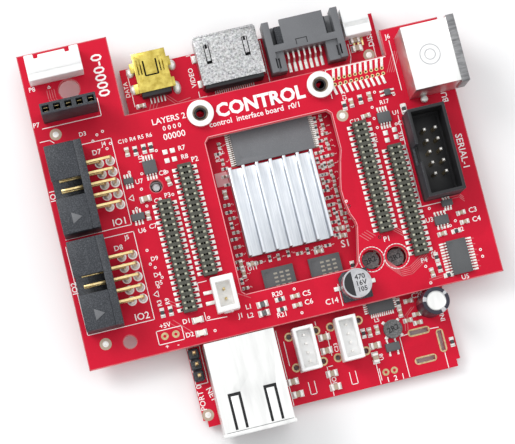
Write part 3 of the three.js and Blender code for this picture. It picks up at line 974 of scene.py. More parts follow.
def spare_footprint():
    """A two-row pad pattern with no socket fitted."""
    pads = []
    holes = []
    for i in range(10):
        x = 17.0 + i * FINE_PITCH
        for y, side in ((28.0, 1), (26.7, -1)):
            pads.append(place(x + side * 0.3, y + side * 1.35, PLUG_TOP, 90 - side * 12))
            holes.append(place(x, y, PLUG_TOP))
    pad = block("pad", (-1.05, -0.31, 0), (1.05, 0.31, 0.07))
    soften(pad, 0.05, 2)
    coat(pad, "solder")
    ring = ring_model(0.42, 0.2, 0.05, 12)
    coat(ring, "gold_plate")
    # A black disc in each hole: painted shade in the holes.
    hole = soften(ring_model(0.24, 0.03, 0.055, 10), 0.01, 1)
    coat(hole, "deep_black")
    pieces = [
        scatter("pads", pad, pads), scatter("rings", ring, holes), scatter("holes", hole, holes),
    ]
    hand_over(joined("spare_footprint", pieces), PLUG, "shell_tin")


class BOARDS_OT_boards(bpy.types.Operator):
    """Give the two circuit boards their mask, copper, rings and legends"""

    bl_idname = "boards.boards"
    bl_label = "Circuit boards"

    def execute(self, context):
        dress_boards()
        fiducials("interface_board_targets", PLUG_FIDUCIALS, PLUG_TOP, PLUG)
        fiducials("main_board_targets", MAIN_FIDUCIALS, MAIN_TOP, MAIN)
        slot_rims()
        outlines()
        legends()
        tracks()
        vias()
        spare_footprint()
        return {"FINISHED"}


class BOARDS_OT_words(bpy.types.Operator):
    """Print the general names and designators on both boards"""

    bl_idname = "boards.words"
    bl_label = "Printed words"

    def execute(self, context):
        words()
        return {"FINISHED"}


# Connectors on the main board
JACK_SIDE_SLITS = [(-43.5, -36.0, 5.0, 5.4), (-43.5, -36.0, 7.6, 8.0), (-36.4, -36.0, 5.0, 8.0)]


def network_jack():
    """The tall network socket: a folded shell with two spring fingers, and its insert."""
    low, high = extent("tall_jack_shell")
    shell = from_cad("tall_jack_shell", "network_jack_shell")
    tools = []
    for x in (-22.55, -14.55):
        tools.append(block("leg", (x - 1.45, -44.2, high.z - 1), (x - 0.85, -36.2, high.z + 1)))
        tools.append(block("leg", (x + 0.85, -44.2, high.z - 1), (x + 1.45, -36.2, high.z + 1)))
        tools.append(block("end", (x - 1.45, -36.9, high.z - 1), (x + 1.45, -36.2, high.z + 1)))
        side = -1 if x < -18 else 1
        wall = low.x if side < 0 else high.x
        for y0, y1, z0, z1 in JACK_SIDE_SLITS:
            tools.append(block("leg", (wall - 1.2, y0, z0), (wall + 1.2, y1, z1)))
    carve(shell, *tools)
    soften(shell, 0.05, 2)
    hand_over(coat(shell, "satin_nickel"), MAIN, "shell_tin", "tall_jack_shell")
    # Two dark lines across the front of the top, along its bends: painted shade at the folds.
    fold_shade = [
        [(low.x + side, low.y + front), (high.x - side, low.y + front)]
        for side, front in ((0.7, 0.95), (0.2, 0.35))
    ]
    draw_lines("network_jack_fold_shade", fold_shade, 14.99, 0.14, 0.04, "painted_shade_steel", MAIN, "shell_tin")
    dress_node("tall_jack_insert", "network_jack_insert", 0.15, 2, "deep_black",
               MAIN, "plastic_black")
    wire = rod("wire", (0, 0, 0), (0, 6.4, 2.4), 0.17, 10)
    pick(wire, "FACE", lambda face: face.normal.y > 0.5)
    extrude(0, 1.6, -1.0)
    finish_edit()
    coat(wire, "gold_plate")
    centre = (low.x + high.x) / 2
    mirror = Matrix.Diagonal((1, 1, -1, 1))
    places = [place(centre + (i - 3.5) * 1.02, -42.6, 11.2) @ mirror for i in range(8)]
    wires = scatter("network_jack_wires", wire, places)
    upright_normals(wires)
    hand_over(wires, MAIN, "shell_gold")


def upright_normals(piece):
    """Turns faces outwards after a mirror."""
    pick(piece, "FACE", lambda face: True)
    bpy.ops.mesh.normals_make_consistent(inside=False)
    finish_edit()


def small_socket():
    """The small gold socket, its spring cut-outs, its solder and its five feet."""
    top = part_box("small_socket_shell")[1].z / MM
    shell = from_cad("small_socket_shell", "small_socket_pressing")
    tools = []
    for x in (-24.45, -21.5):
        tools.append(block("side", (x - 0.19, 38.6, top - 1), (x + 0.19, 42.2, top + 1)))
    tools.append(block("end", (-24.45, 38.5, top - 1), (-21.4, 38.85, top + 1)))
    for x in (-25.9, -25.2, -20.75, -20.05):
        tools.append(block("slit", (x - 0.15, 39.1, top - 1), (x + 0.15, 42.6, top + 1)))
    carve(shell, *tools)
    soften(shell, 0.14, 2)
    hand_over(coat(shell, "pressed_gold"), MAIN, "shell_gold", "small_socket_shell")
    dress_node("small_socket_insert", "small_socket_tongue", 0.1, 2, "deep_black",
               MAIN, "plastic_black")
    blobs = []
    for x, y, wide, long in ((-27.7, 36.8, 0.95, 1.2), (-27.7, 40.8, 0.95, 1.15),
                             (-18.0, 35.2, 0.95, 1.6), (-18.0, 40.6, 0.95, 1.3)):
        blobs.append(place(x, y, MAIN_TOP, 0, (wide, long, 1.0)))
    blob = coat(dome_model(1.0, 0.6), "solder")
    lay("small_socket_solder", blob, blobs, MAIN, "shell_tin")
    foot = coat(block("foot", (-0.17, -1.2, 0), (0.17, 1.0, 0.25)), "solder")
    soften(foot, 0.06, 1)
    feet = [place(-22.85 + (i - 2) * 0.8, 33.9, MAIN_TOP) for i in range(5)]
    lay("small_socket_feet", foot, feet, MAIN, "shell_tin")


def video_socket():
    """The wide video socket: a mottled shell with two springs over its black insert."""
    low, high = extent("wide_socket_shell")
    shell = from_cad("wide_socket_shell", "video_socket_shell")
    tools = []
    below, above = high.z - 1, high.z + 1
    for x in (-9.75, -0.8):
        for edge in (x - 0.62, x + 0.45):
            tools.append(block("slit", (edge, 37.8, below), (edge + 0.2, 42.6, above)))
        tools.append(block("end", (x - 0.62, 37.6, below), (x + 0.65, 38.3, above)))
        tools.append(block("pocket", (x - 0.3, 41.2, below), (x + 0.25, 42.2, above)))
    for x in (-11.0, 0.6):
        near = (x - 0.5, low.y - 1, high.z - 0.3)
        tools.append(block("notch", near, (x + 0.5, low.y + 0.7, above)))
    carve(shell, *tools)
    soften(shell, 0.2, 3)
    hand_over(coat(shell, "spangled_steel"), MAIN, "shell_tin", "wide_socket_shell")
    dress_node("wide_socket_insert", "video_socket_insert", 0.12, 2, "deep_black",
               MAIN, "plastic_black")
    near = (low.x + 0.25, high.y - 0.1, high.z - 0.05)
    lip = block("lip", near, (high.x - 0.25, high.y + 0.35, high.z + 0.12))
    soften(lip, 0.08, 2)
    hand_over(coat(lip, "spangled_steel"), MAIN, "shell_tin")
    foot = soften(block("foot", (-0.11, -0.9, 0), (0.11, 0.9, 0.2)), 0.05, 1)
    coat(foot, "solder")
    feet = [place(-5.1 + (i - 9) * 0.5, 31.6, MAIN_TOP) for i in range(19)]
    lay("video_socket_feet", foot, feet, MAIN, "shell_tin")
    tab = soften(block("tab", (-0.45, -0.9, 0), (0.45, 0.9, 0.5)), 0.2, 3)
    coat(tab, "solder")
    tabs = [place(x, y, MAIN_TOP) for x in (low.x - 0.35, high.x + 0.35) for y in (34.6, 40.6)]
    lay("video_socket_tabs", tab, tabs, MAIN, "shell_tin")


def disk_socket():
    """The grey disk socket between its two guide posts, with seven bent contacts."""
    low, high = extent("drive_socket_housing")
    housing = from_cad("drive_socket_housing", "disk_socket_body")
    tools = []
    for x in (low.x + 1.5, high.x - 1.9):
        tools.append(block("well", (x - 0.2, 33.2, 4.6), (x + 0.2, 35.6, 9)))
        tools.append(block("well", (x + 0.45, 33.2, 4.6), (x + 0.85, 35.6, 9)))
    carve(housing, *tools)
    soften(housing, 0.16, 2)
    hand_over(coat(housing, "slate_grey"), MAIN, "plastic_grey", "drive_socket_housing")
    # Dark lines round the latch: painted shade in its slit.
    edges = [[(10.7, 37.7), (10.7, 38.9), (13.2, 38.9), (13.2, 37.7)]]
    draw_lines("disk_socket_latch", edges, high.z - 0.02, 0.2, 0.03, "deep_black",
               MAIN, "plastic_grey")
    dress_node("drive_socket_tongue", "disk_socket_tongue", 0.1, 2, "header_black",
               MAIN, "plastic_black")
    contact = block("contact", (-0.2, 1.6, 1.9), (0.2, 2.6, 2.1))
    for y, z in ((0.7, 1.9), (0.1, 0.15), (-1.5, 0.05)):
        bend(contact, Vector((0, -1, 0)), -y, z)
    coat(contact, "solder")
    pad = coat(soften(block("pad", (-0.36, -2.1, 0), (0.36, 0.1, 0.1)), 0.05, 2), "solder")
    places = [place(12.35 + (i - 3) * FINE_PITCH, 34.7, MAIN_TOP) for i in range(7)]
    pieces = [scatter("contacts", contact, places), scatter("pads", pad, places)]
    hand_over(joined("disk_socket_contacts", pieces), MAIN, "shell_tin")


def wire_socket(node, body, floor_axis):
    """A white wire socket: its housing, and its floor with pins in their own metal."""
    dress_node(node + "_housing", node + "_moulding", 0.18, 2, "nylon_white",
               body, "plastic_white")
    pins = from_cad(node + "_pins", node + "_contacts")
    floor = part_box(node + "_pins")[0][floor_axis]
    base = floor + 1.9 * MM
    lift = [0.0, 0.0, 0.0]
    lift[floor_axis] = 1.4 * MM

    def on_floor(face):
        return face.normal[floor_axis] > 0.9 and face.center[floor_axis] < base
    pick(pins, "FACE", on_floor)
    bpy.ops.transform.translate(value=lift)
    finish_edit()
    base += lift[floor_axis]
    soften(pins, 0.06, 1)
    coat(pins, "nylon_white")
    coat(pins, "solder", lambda face: face.center[floor_axis] > base)
    hand_over(pins, body, "plastic_white", node + "_pins")


def edge_sockets():
    wire_socket("host_socket_left", MAIN, 2)
    wire_socket("host_socket_right", MAIN, 2)
    wire_socket("battery_socket", MAIN, 1)
    foot = coat(soften(block("foot", (-0.25, -2.0, 0), (0.25, 0.4, 0.4)), 0.1, 2), "gold_plate")
    feet = [place(25.3 + side, 37.0, MAIN_TOP) for side in (-1.0, 0.0, 1.0)]
    lay("battery_socket_feet", foot, feet, MAIN, "shell_gold")


def debug_header():
    """Three gold pins in a row, in chamfered black blocks."""
    low, high = extent("debug_header")
    x, y = centre_of(low, high)
    cell = soften(block("cell", (-1.22, -1.22, 0), (1.22, 1.22, 2.5)), 0.35, 1)
    coat(cell, "header_black")
    pin = coat(pin_model(0.64, 2.3, high.z - MAIN_TOP), "gold_plate")
    places = [place(x, y + i * PITCH, MAIN_TOP) for i in (-1, 0, 1)]
    cells = scatter("debug_header_blocks", cell, places)
    hand_over(cells, MAIN, "plastic_black", "debug_header")
    lay("debug_header_pins", pin, places, MAIN, "shell_gold")


class BOARDS_OT_edge_connectors(bpy.types.Operator):
    """Build the sockets along the edges of the main board"""

    bl_idname = "boards.edge_connectors"
    bl_label = "Edge connectors"

    def execute(self, context):
        network_jack()
        small_socket()
        video_socket()
        disk_socket()
        edge_sockets()
        debug_header()
        return {"FINISHED"}


# Connectors on the interface board
def box_header_up():
    """The upright box header with its ten pins."""
    shroud = from_cad("serial_header_shroud", "serial_header_box")
    low, high = extent("serial_header_shroud")
    wall = 0.72
    near, far = (low.x + wall, low.y + wall, low.z - 1), (high.x - wall, high.y - wall, high.z + 1)
    carve(shroud, block("space", near, far))
    soften(shroud, 0.12, 2)
    coat(shroud, "header_black")
    # The inside walls take a deeper black: painted shade inside the box.
    coat(shroud, "deep_black", lambda face: near[0] - 0.1 < face.center.x / MM < far[0] + 0.1
         and near[1] - 0.1 < face.center.y / MM < far[1] + 0.1)
    hand_over(shroud, PLUG, "plastic_black", "serial_header_shroud")
    low, high = extent("serial_header_pins")
    # The floor in the box takes the deeper black too: painted shade at the bottom of the box.
    base = block("serial_header_floor", low, (high.x, high.y, low.z + 2.4))
    step_top(base, 1.3, 0.25)
    soften(base, 0.1, 2)
    hand_over(coat(base, "deep_black"), PLUG, "plastic_black", "serial_header_pins")
    x, y = centre_of(low, high)
    pin = coat(pin_model(0.64, 2.4, high.z - low.z), "gold_plate")
    # The gold pins get bright solder-coloured tips: painted highlights on the tips.
    coat(pin, "solder", lambda face: face.normal.z > 0.3)
    places = []
    for row in (-PITCH / 2, PITCH / 2):
        places += [place(x + row, y + i * PITCH, low.z) for i in range(-2, 3)]
    lay("serial_header_contacts", pin, places, PLUG, "shell_gold")


def box_header_left(name, title):
    """A box header that lies on its side, with bent pins behind it."""
    low, high = extent(name + "_shroud")
    dress_node(name + "_shroud", title + "_box", 0.16, 2, "header_black", PLUG, "plastic_black")
    y = (low.y + high.y) / 2
    centre = (low.z + high.z) / 2
    base = block(title + "_floor", (high.x - 0.02, low.y, low.z), (high.x + 1.8, high.y, high.z))
    soften(base, 0.16, 2)
    hand_over(coat(base, "header_black"), PLUG, "plastic_black", name + "_pins")
    mark = rod("mark", (0, 0, 0), (0, 0, 0.16), 1.5, 3)
    mark.data.transform(place(low.x + 3.4, low.y + 3.2, high.z - 0.02, 90))
    mark.name = title + "_mark"
    soften(mark, 0.05, 2)
    hand_over(coat(mark, "slate_grey"), PLUG, "plastic_black")
    pins = []
    joints = []
    for row, foot in ((-PITCH / 2, -39.35), (PITCH / 2, -36.85)):
        height = centre + row
        pin = block("pin", (high.x + 1.7, -0.32, height - 0.32), (foot, 0.32, height + 0.32))
        pick(pin, "FACE", lambda face: face.normal.x > 0.9)
        extrude(0.45, 0, -0.25)
        stretch_by((1, 1, 0.7), foot, 0, height - 0.32)
        finish_edit()
        leg = block("leg", (foot - 0.3, -0.32, PLUG_TOP), (foot + 0.34, 0.32, height - 0.1))
        inside = block("blade", (low.x + 1.6, -0.32, height - 0.32), (high.x, 0.32, height + 0.32))
        soften(inside, 0.12, 2)
        model = coat(joined("bent_pin", [pin, leg, inside]), "gold_plate")
        soften(model, 0.07, 1)
        places = [place(0, y + i * PITCH) for i in range(-2, 3)]
        pins.append(scatter("row", model, places))
        joints += [place(foot, y + i * PITCH, PLUG_TOP) for i in range(-2, 3)]
    hand_over(joined(title + "_contacts", pins), PLUG, "shell_gold")
    cone = coat(solder_model(0.8, 0.5, 0.42), "solder")
    lay(title + "_solder", cone, joints, PLUG, "shell_tin")
    ring = coat(ring_model(1.08, 0.6, 0.03, 18), "ink")
    lay(title + "_rings", ring, joints, PLUG, "board_red")


def fan_socket():
    """The white right-angled socket on the left tab, notched at its mouth."""
    low, high = extent("fan_socket_housing")
    housing = from_cad("fan_socket_housing", "fan_socket_moulding")
    tools = []
    left, right = low.x + 2.6, high.x - 2.6
    bottom, back, above = high.z - 1.6, high.y + 1, high.z + 1
    for x in (left, right):
        tools.append(block("notch", (x - 0.5, high.y - 1.1, bottom), (x + 0.5, back, above)))
    tools.append(block("edge", (left, high.y - 0.35, bottom), (right, back, above)))
    carve(housing, *tools)
    soften(housing, 0.25, 3)
    hand_over(coat(housing, "nylon_white"), PLUG, "plastic_white", "fan_socket_housing")
    pins = soften(from_cad("fan_socket_pins", "fan_socket_contacts"), 0.08, 1)
    coat(pins, "nylon_white")
    limit = low.y + 0.05
    coat(pins, "gold_plate", lambda face: face.center.y / MM > limit)
    hand_over(pins, PLUG, "plastic_white", "fan_socket_pins")


def five_way_socket():
    """A tall black pin socket with five square mouths."""
    low, high = extent("five_way_socket")
    x, y = centre_of(low, high)
    body = block("five_way_body", low, high)
    mouths = []
    for i in range(-2, 3):
        spot = x + i * PITCH
        near, far = (spot - 0.78, y - 0.72, high.z - 8), (spot + 0.78, y + 0.72, high.z + 1)
        mouth = block("mouth", near, far)
        pick(mouth, "FACE", faces_down)
        stretch_by((0.8, 0.8, 1), spot, y)
        finish_edit()
        mouths.append(mouth)
    carve(body, *mouths)
    soften(body, 0.14, 2)
    hand_over(coat(body, "header_black"), PLUG, "plastic_black", "five_way_socket")
    leaf = soften(block("leaf", (-0.5, -0.1, -7), (0.5, 0.1, -1.6)), 0.05, 1)
    coat(leaf, "gold_plate")
    leaves = []
    for i in range(-2, 3):
        leaves += [place(x + i * PITCH, y + side, high.z) for side in (-0.42, 0.42)]
    lay("five_way_springs", leaf, leaves, PLUG, "shell_gold")


def raised_socket():
    """The raised socket on the right edge: shell, white insert and two plain stamped rings."""
    high = extent("raised_socket_shell")[1]
    shell = soften(from_cad("raised_socket_shell", "flat_plug_shell"), 0.22, 3)
    coat(shell, "satin_nickel")
    # The faces near the mouth take the dark steel: painted shade at the mouth.
    mouth = (high.x - 1.75) * MM
    coat(shell, "painted_shade_steel", lambda face: face.center.x > mouth)
    hand_over(shell, PLUG, "shell_tin", "raised_socket_shell")
    dress_node("raised_socket_insert", "flat_plug_insert", 0.12, 2, "nylon_white",
               PLUG, "plastic_white")
    x, y, top = 37.9, 26.6, high.z - 0.3
    # The stamped rings take a darker metal than the shell: painted shade along their edges.
    rings = [ring_model(radius, radius - 0.22, 0.05, 40) for radius in (2.4, 1.3)]
    stamp = coat(joined("flat_plug_stamping", rings), "drawn_can")
    stamp.data.transform(place(x, y, top - 0.02))
    hand_over(stamp, PLUG, "shell_tin")
    peg_x, peg_y = 36.0, 18.6
    peg = rod("flat_plug_peg", (peg_x, peg_y, PLUG_TOP), (peg_x, peg_y, PLUG_TOP + 1.4), 0.85, 20)
    soften(peg, 0.35, 3)
    hand_over(coat(peg, "solder"), PLUG, "shell_tin")
    contact = soften(block("contact", (-3.6, -0.5, 0), (3.6, 0.5, 0.12)), 0.05, 1)
    coat(contact, "gold_plate")
    places = [place(38.5, 26.65 + (i - 1.5) * 2.2, PLUG_TOP + 8.08) for i in range(4)]
    lay("flat_plug_contacts", contact, places, PLUG, "shell_gold")


def signal_socket():
    """The small white surface-mounted socket, its feet and its two pins."""
    dress_node("signal_socket", "signal_socket_body", 0.2, 2, "nylon_white",
               PLUG, "plastic_white")
    low, high = extent("signal_socket")
    foot = coat(soften(block("foot", (-1.25, -0.42, 0), (1.05, 0.42, 0.3)), 0.1, 2), "solder")
    places = [place(low.x - 0.75, y, PLUG_TOP) for y in (-12.9, -15.3)]
    lay("signal_socket_feet", foot, places, PLUG, "shell_tin")
    pin = coat(pin_model(0.5, 1.0, 3.8), "gold_plate")
    places = [place((low.x + high.x) / 2, y, PLUG_TOP) for y in (-13.1, -15.3)]
    lay("signal_socket_pins", pin, places, PLUG, "shell_gold")
    near, far = (low.x + 1.5, low.y - 0.25, PLUG_TOP), (high.x - 1.5, low.y + 0.4, PLUG_TOP + 2.4)
    bar = soften(block("signal_socket_latch", near, far), 0.12, 2)
    hand_over(coat(bar, "nylon_white"), PLUG, "plastic_white")


class BOARDS_OT_plug_connectors(bpy.types.Operator):
    """Build the headers and sockets of the interface board"""

    bl_idname = "boards.plug_connectors"
    bl_label = "Interface board connectors"

    def execute(self, context):
        box_header_up()
        box_header_left("display_header", "display_plug")
        box_header_left("storage_header", "storage_plug")
        fan_socket()
        five_way_socket()
        raised_socket()
        signal_socket()
        return {"FINISHED"}


# The four pairs of stacking strips
def socket_strip(index, model, contacts, pads, pad_shadows):
    low, high = extent(f"socket_strip_{index}")
    x, y = centre_of(low, high)
    for part, name, slot in (
        (model, "strip_moulding", "plastic_olive"), (contacts, "strip_contacts", "shell_gold"),
        (pads, "strip_pads", "shell_tin"), (pad_shadows, "strip_pad_shadows", "shell_tin"),
    ):
        twin = part.copy()
        twin.data = part.data.copy()
        twin.name = f"{name}_{index}"
        bpy.context.scene.collection.objects.link(twin)
        twin.data.transform(place(x, y, low.z))
        if part is model:
            hand_over(twin, PLUG, slot, f"socket_strip_{index}")
        else:
            hand_over(twin, PLUG, slot)


def strips():
    """Fine-pitch sockets with two rows of square mouths, on rows of bright pads."""
    low, high = extent("socket_strip_1")
    height = high.z - low.z
    half_x, half_y = (high.x - low.x) / 2, (high.y - low.y) / 2
    spots = [(i - 9.5) * FINE_PITCH for i in range(20)]
    row = 0.29
    body = block("strip", (-half_x, -half_y, 0), (half_x, half_y, height))
    mouth = block("mouth", (-0.23, -0.23, 0.3), (0.23, 0.23, height + 1))
    places = [place(side * row, y) for side in (-1, 1) for y in spots]
    carve(body, scatter("mouths", mouth, places))
    notch = block("notch", (-0.25, -0.16, -0.1), (0.25, 0.16, height + 1))
    places = [place(side * half_x, y + FINE_PITCH / 2) for side in (-1, 1) for y in spots[:-1]]
    carve(body, scatter("notches", notch, places))
    coat(body, "strip_olive")
    leaf = block("leaf", (-0.26, -0.22, height - 0.5), (0.26, 0.22, height + 0.03))
    coat(leaf, "contact_leaf")
    places = [place(side * (row + 0.58), y) for side in (-1, 1) for y in spots]
    contacts = scatter("contacts", leaf, places)
    pad = coat(soften(block("pad", (-0.56, -0.41, 0), (0.56, 0.41, 0.16)), 0.06, 2), "solder")
    pads = scatter("pads", pad, [place(side * 2.27, y) for side in (-1, 1) for y in spots])
    # Dark blocks between each strip and its pads: painted shadow under the pads.
    foot = coat(block("foot", (-0.35, -0.2, 0.05), (0.35, 0.2, 0.3)), "deep_black")
    feet = scatter("feet", foot, [place(side * 1.75, y) for side in (-1, 1) for y in spots])
    for index in (1, 2, 3, 4):
        socket_strip(index, body, contacts, pads, feet)
    for model in (body, contacts, pads, feet):
        bpy.data.objects.remove(model)


def stacking_headers():
    """Two rows of fine pins in a black bar, which plug into each strip from below."""
    for index in (1, 2, 3, 4):
        low, high = extent(f"stacking_header_{index}")
        x, y = centre_of(low, high)
        bar = block(f"stacking_bar_{index}", low, (high.x, high.y, PLUG_BOTTOM))
        notch = block("notch", (-0.25, -0.16, -0.1), (0.25, 0.16, 4))
        width = (high.x - low.x) / 2
        spots = [y + (i - 9.5) * FINE_PITCH for i in range(20)]
        gaps = [spot + FINE_PITCH / 2 for spot in spots[:-1]]
        places = [place(x + side * width, gap, low.z) for side in (-1, 1) for gap in gaps]
        carve(bar, scatter("notches", notch, places))
        coat(bar, "header_black")
        hand_over(bar, MAIN, "plastic_black", f"stacking_header_{index}")
        pin = coat(pin_model(0.4, PLUG_BOTTOM - low.z - 1, high.z - low.z), "gold_plate")
        rows = (x - FINE_PITCH / 2, x + FINE_PITCH / 2)
        places = [place(row, spot, low.z) for row in rows for spot in spots]
        lay(f"stacking_pins_{index}", pin, places, MAIN, "shell_gold")
        foot = coat(block("foot", (-0.8, -0.2, 0), (0.8, 0.2, 0.2)), "solder")
        places = [place(x + side * 1.7, spot, low.z) for side in (-1, 1) for spot in spots]
        lay(f"stacking_feet_{index}", foot, places, MAIN, "shell_tin")


class BOARDS_OT_strips(bpy.types.Operator):
    """Build the stacking headers and the socket strips that they plug into"""

    bl_idname = "boards.strips"
    bl_label = "Stacking strips"

    def execute(self, context):
        strips()
        stacking_headers()
        return {"FINISHED"}


# Heatsink and chips
def heatsink():
    """The finned extrusion, the pad under it and the chip that it cools."""
    fins = soften(from_cad("heatsink", "heatsink_extrusion"), 0.1, 2)
    coat(fins, "extruded_aluminium")
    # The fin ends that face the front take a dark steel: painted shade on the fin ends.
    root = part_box("heatsink")[0].z + 1.6 * MM
    coat(fins, "painted_shade_steel", lambda face: face.normal.y < -0.9 and face.center.z > root)
    hand_over(fins, MAIN, "heatsink_aluminium", "heatsink")
    coat(clear_finish("thermal_pad"), "pad_grey")
    coat(clear_finish("processor_chip"), "chip_epoxy")


def chip_body(node, name, body, dot=None, lines=(), finish="chip_epoxy"):
    """A moulded chip with a soft edge, a pin-one dimple and a few blank laser lines."""
    low, high = extent(node)
    chip = from_cad(node, name)
    if dot:
        tool = rod("dimple", (*dot, high.z - 0.08), (*dot, high.z + 1), 0.42, 16)
        carve(chip, tool)
    soften(chip, 0.09, 2)
    coat(chip, finish)
    hand_over(chip, body, "chip_black", node)
    if lines:
        places = []
        for x, y, width, turn in lines:
            places.append(place(x, y, high.z - 0.004, turn, (width, 0.42, 0.01)))
        marks = coat(scatter(name + "_marks", strip_model(), places), "laser_mark")
        hand_over(marks, body, "chip_black")
    return low, high


def leads(name, x, y, z, turn, body, **shape):
    row = leads_model(**shape)
    row.data.transform(place(x, y, z, turn))
    row.name = name
    hand_over(row, body, "shell_tin")


def main_chips():
    # The flash chip takes the lighter epoxy: painted sheen on its top.
    low, high = chip_body("flash_chip", "flash_package", MAIN, (-7.6, 15.4),
                          [(1.0, 23.9, 2.6, 0)], "sheen_lit_epoxy")
    x, y, reach = circle_of(low, high)
    # Dark strips on the board under both rows of leads: painted shadow between the leads.
    size = (12.0, 1.1, 0.02)
    shadow = [place(x + side * (reach + 0.5), y, MAIN_TOP, 90, size) for side in (-1, 1)]
    lay("flash_lead_shadow", coat(strip_model(), "ceramic_brown"), shadow, MAIN, "board_red")
    leads("flash_leads", x, y, MAIN_TOP, 0, MAIN, side_count=24, pitch=0.48, inner=reach - 0.05,
          outer=reach + 0.95, width=0.2, height=0.45)
    for node, name in (("memory_chip_left", "memory_left"), ("memory_chip_right", "memory_right")):
        low, high = extent(node)
        left, top = low.x, high.y
        chars = [
            (left + 3.0 + i * 1.4, top - 1.4 - row * 0.95, 0.85, 0)
            for i in range(3) for row in range(4)
        ]
        chip_body(node, name + "_package", MAIN, (left + 1.0, top - 1.2), chars)
    low, high = chip_body("power_chip", "power_package", MAIN)
    x, y, reach = circle_of(low, high)
    for side, turn in (("x", 0), ("y", 90)):
        leads(f"power_leads_{side}", x, y, MAIN_TOP, turn, MAIN, side_count=11, pitch=0.5,
              inner=reach - 0.05, outer=reach + 0.6, width=0.2, height=0.35)
    chip_body("network_chip", "network_package", MAIN, (-21.0, -17.0))
    x, y = centre_of(*extent("network_chip"))
    for side, turn in (("x", 0), ("y", 90)):
        leads(f"network_leads_{side}", x, y, MAIN_TOP, turn, MAIN, side_count=12, pitch=0.5,
              inner=3.45, outer=4.3, width=0.2, height=0.4)


def plug_chips():
    low, high = chip_body("serial_chip", "serial_package", PLUG, (33.4, -15.2))
    x, y = centre_of(low, high)
    leads("serial_leads", x, y, PLUG_TOP, 0, PLUG, side_count=12, pitch=0.65, inner=2.15,
          outer=3.5, width=0.3, height=0.5)
    for node, name, half in (
        ("logic_chip_left", "logic_left", 1.45), ("logic_chip_right", "logic_right", 1.15),
    ):
        chip_body(node, name + "_package", PLUG)
        x, y = centre_of(*extent(node))
        leads(name + "_leads", x, y, PLUG_TOP, 90, PLUG, side_count=4, pitch=0.65, inner=half,
              outer=half + 1.15, width=0.3, height=0.4)


SMALL_CHIPS = [
    ("level_shifter", (-33.9, 15.8), (1.4, 2.3, 0.9), 3, 0.65, 90),
    ("gate_left", (-33.7, 7.4), (1.7, 3.1, 1.0), 3, 0.75, 90),
    ("gate_upper", (35.1, -5.7), (1.5, 2.6, 1.0), 3, 0.65, 90),
    ("gate_lower", (32.9, -9.2), (2.2, 3.4, 1.0), 4, 0.75, 90),
    ("gate_right", (28.2, 22.2), (1.5, 1.5, 0.8), 2, 0.9, 0),
]


def small_chips():
    """The small packages of the interface board and the regulator of the main board."""
    rows = [(*row, PLUG_TOP, PLUG) for row in SMALL_CHIPS]
    rows.append(("regulator", (15.6, -34.3), (2.0, 3.4, 1.1), 2, 1.9, 90, MAIN_TOP, MAIN))
    for name, (x, y), (width, length, height), count, pitch, turn, level, body in rows:
        chip = block(name, (-width / 2, -length / 2, 0.1), (width / 2, length / 2, height))
        pick(chip, "FACE", faces_up)
        stretch_by((0.9, 0.94, 1))
        finish_edit()
        soften(chip, 0.07, 2)
        chip.data.transform(place(x, y, level, turn))
        coat(chip, "chip_epoxy")
        hand_over(chip, body, "chip_black")
        leads(name + "_leads", x, y, level, turn, body, side_count=count, pitch=pitch,
              inner=width / 2 - 0.05, outer=width / 2 + 0.7, width=0.32, height=0.4)


class BOARDS_OT_chips(bpy.types.Operator):
    """Build the heatsink and the chips with their leads"""

    bl_idname = "boards.chips"
    bl_label = "Heatsink and chips"

    def execute(self, context):
        heatsink()
        main_chips()
        plug_chips()
        small_chips()
        return {"FINISHED"}


# Resistors, capacitors and light emitters
PLUG_CAPACITORS = [
    (-32.7, 22.4, 90), (-25.1, 13.7, 100), (-31.4, 7.2, 90), (22.1, 18.0, 5), (37.7, -8.6, 3),
    (38.0, -10.8, 3), (32.3, -12.3, 3), (27.9, -20.3, 95), (19.6, 21.7, 90), (24.0, 22.2, 90),
    (-3.6, -18.2, 2), (-3.6, -20.3, 2),
]
PLUG_WIDE = [(-31.1, 11.0, 2)]
PLUG_BEADS = [(-11.2, -18.3, 2), (-11.3, -20.3, 2)]
PLUG_RESISTORS = [
    (-30.8, 22.2, 90), (-28.8, 22.2, 90), (-27.2, 22.2, 90), (-33.4, -14.9, 90), (-31.5, -14.9, 90),
    (-7.1, -18.1, 2), (-7.2, -20.4, 2), (17.9, 21.4, 90), (21.8, 22.0, 90), (31.0, 17.6, 92),
    (29.7, -17.2, 92), (29.8, -19.6, 92), (31.4, -21.7, 0), (35.6, -12.4, 2),
]
PLUG_JUMPERS = [(-23.5, 20.4, 0), (-23.5, 18.4, 0), (25.5, 12.3, 90), (27.7, 12.6, 90)]
PLUG_LIGHTS = [(-26.1, -18.3, 0), (-26.0, -21.3, 0)]
MAIN_WIDE = [
    (1.0, -28.5, 0), (0.8, -31.6, 0), (0.7, -36.9, 0), (0.8, -40.0, 0), (-8.4, -36.6, 0),
    (-7.9, -39.6, 0), (24.7, 36.6, 0), (24.7, 34.6, 0), (11.8, -33.1, 0), (11.2, -35.8, 90),
]
MAIN_CAPACITORS = [
    (11.3, -29.9, 90), (13.1, -29.7, 90), (20.5, -29.3, 0), (22.9, -28.4, 0), (22.6, -30.3, 0),
    (19.2, -27.2, 90), (21.7, -25.0, 0), (-13.4, -8.0, 90), (-13.3, -10.2, 90), (10.6, -5.2, 0),
    (10.7, -7.0, 0), (-27.0, 32.8, 0), (4.6, -9.2, 0), (-10.9, -8.5, 0), (-13.1, 8.4, 90),
]
MAIN_RESISTORS = [(9.9, -29.8, 90), (29.1, -36.4, 90), (19.3, -24.9, 90), (11.3, -14.2, 90)]


def on_board(rows, level):
    return [place(x, y, level, turn) for x, y, turn in rows]


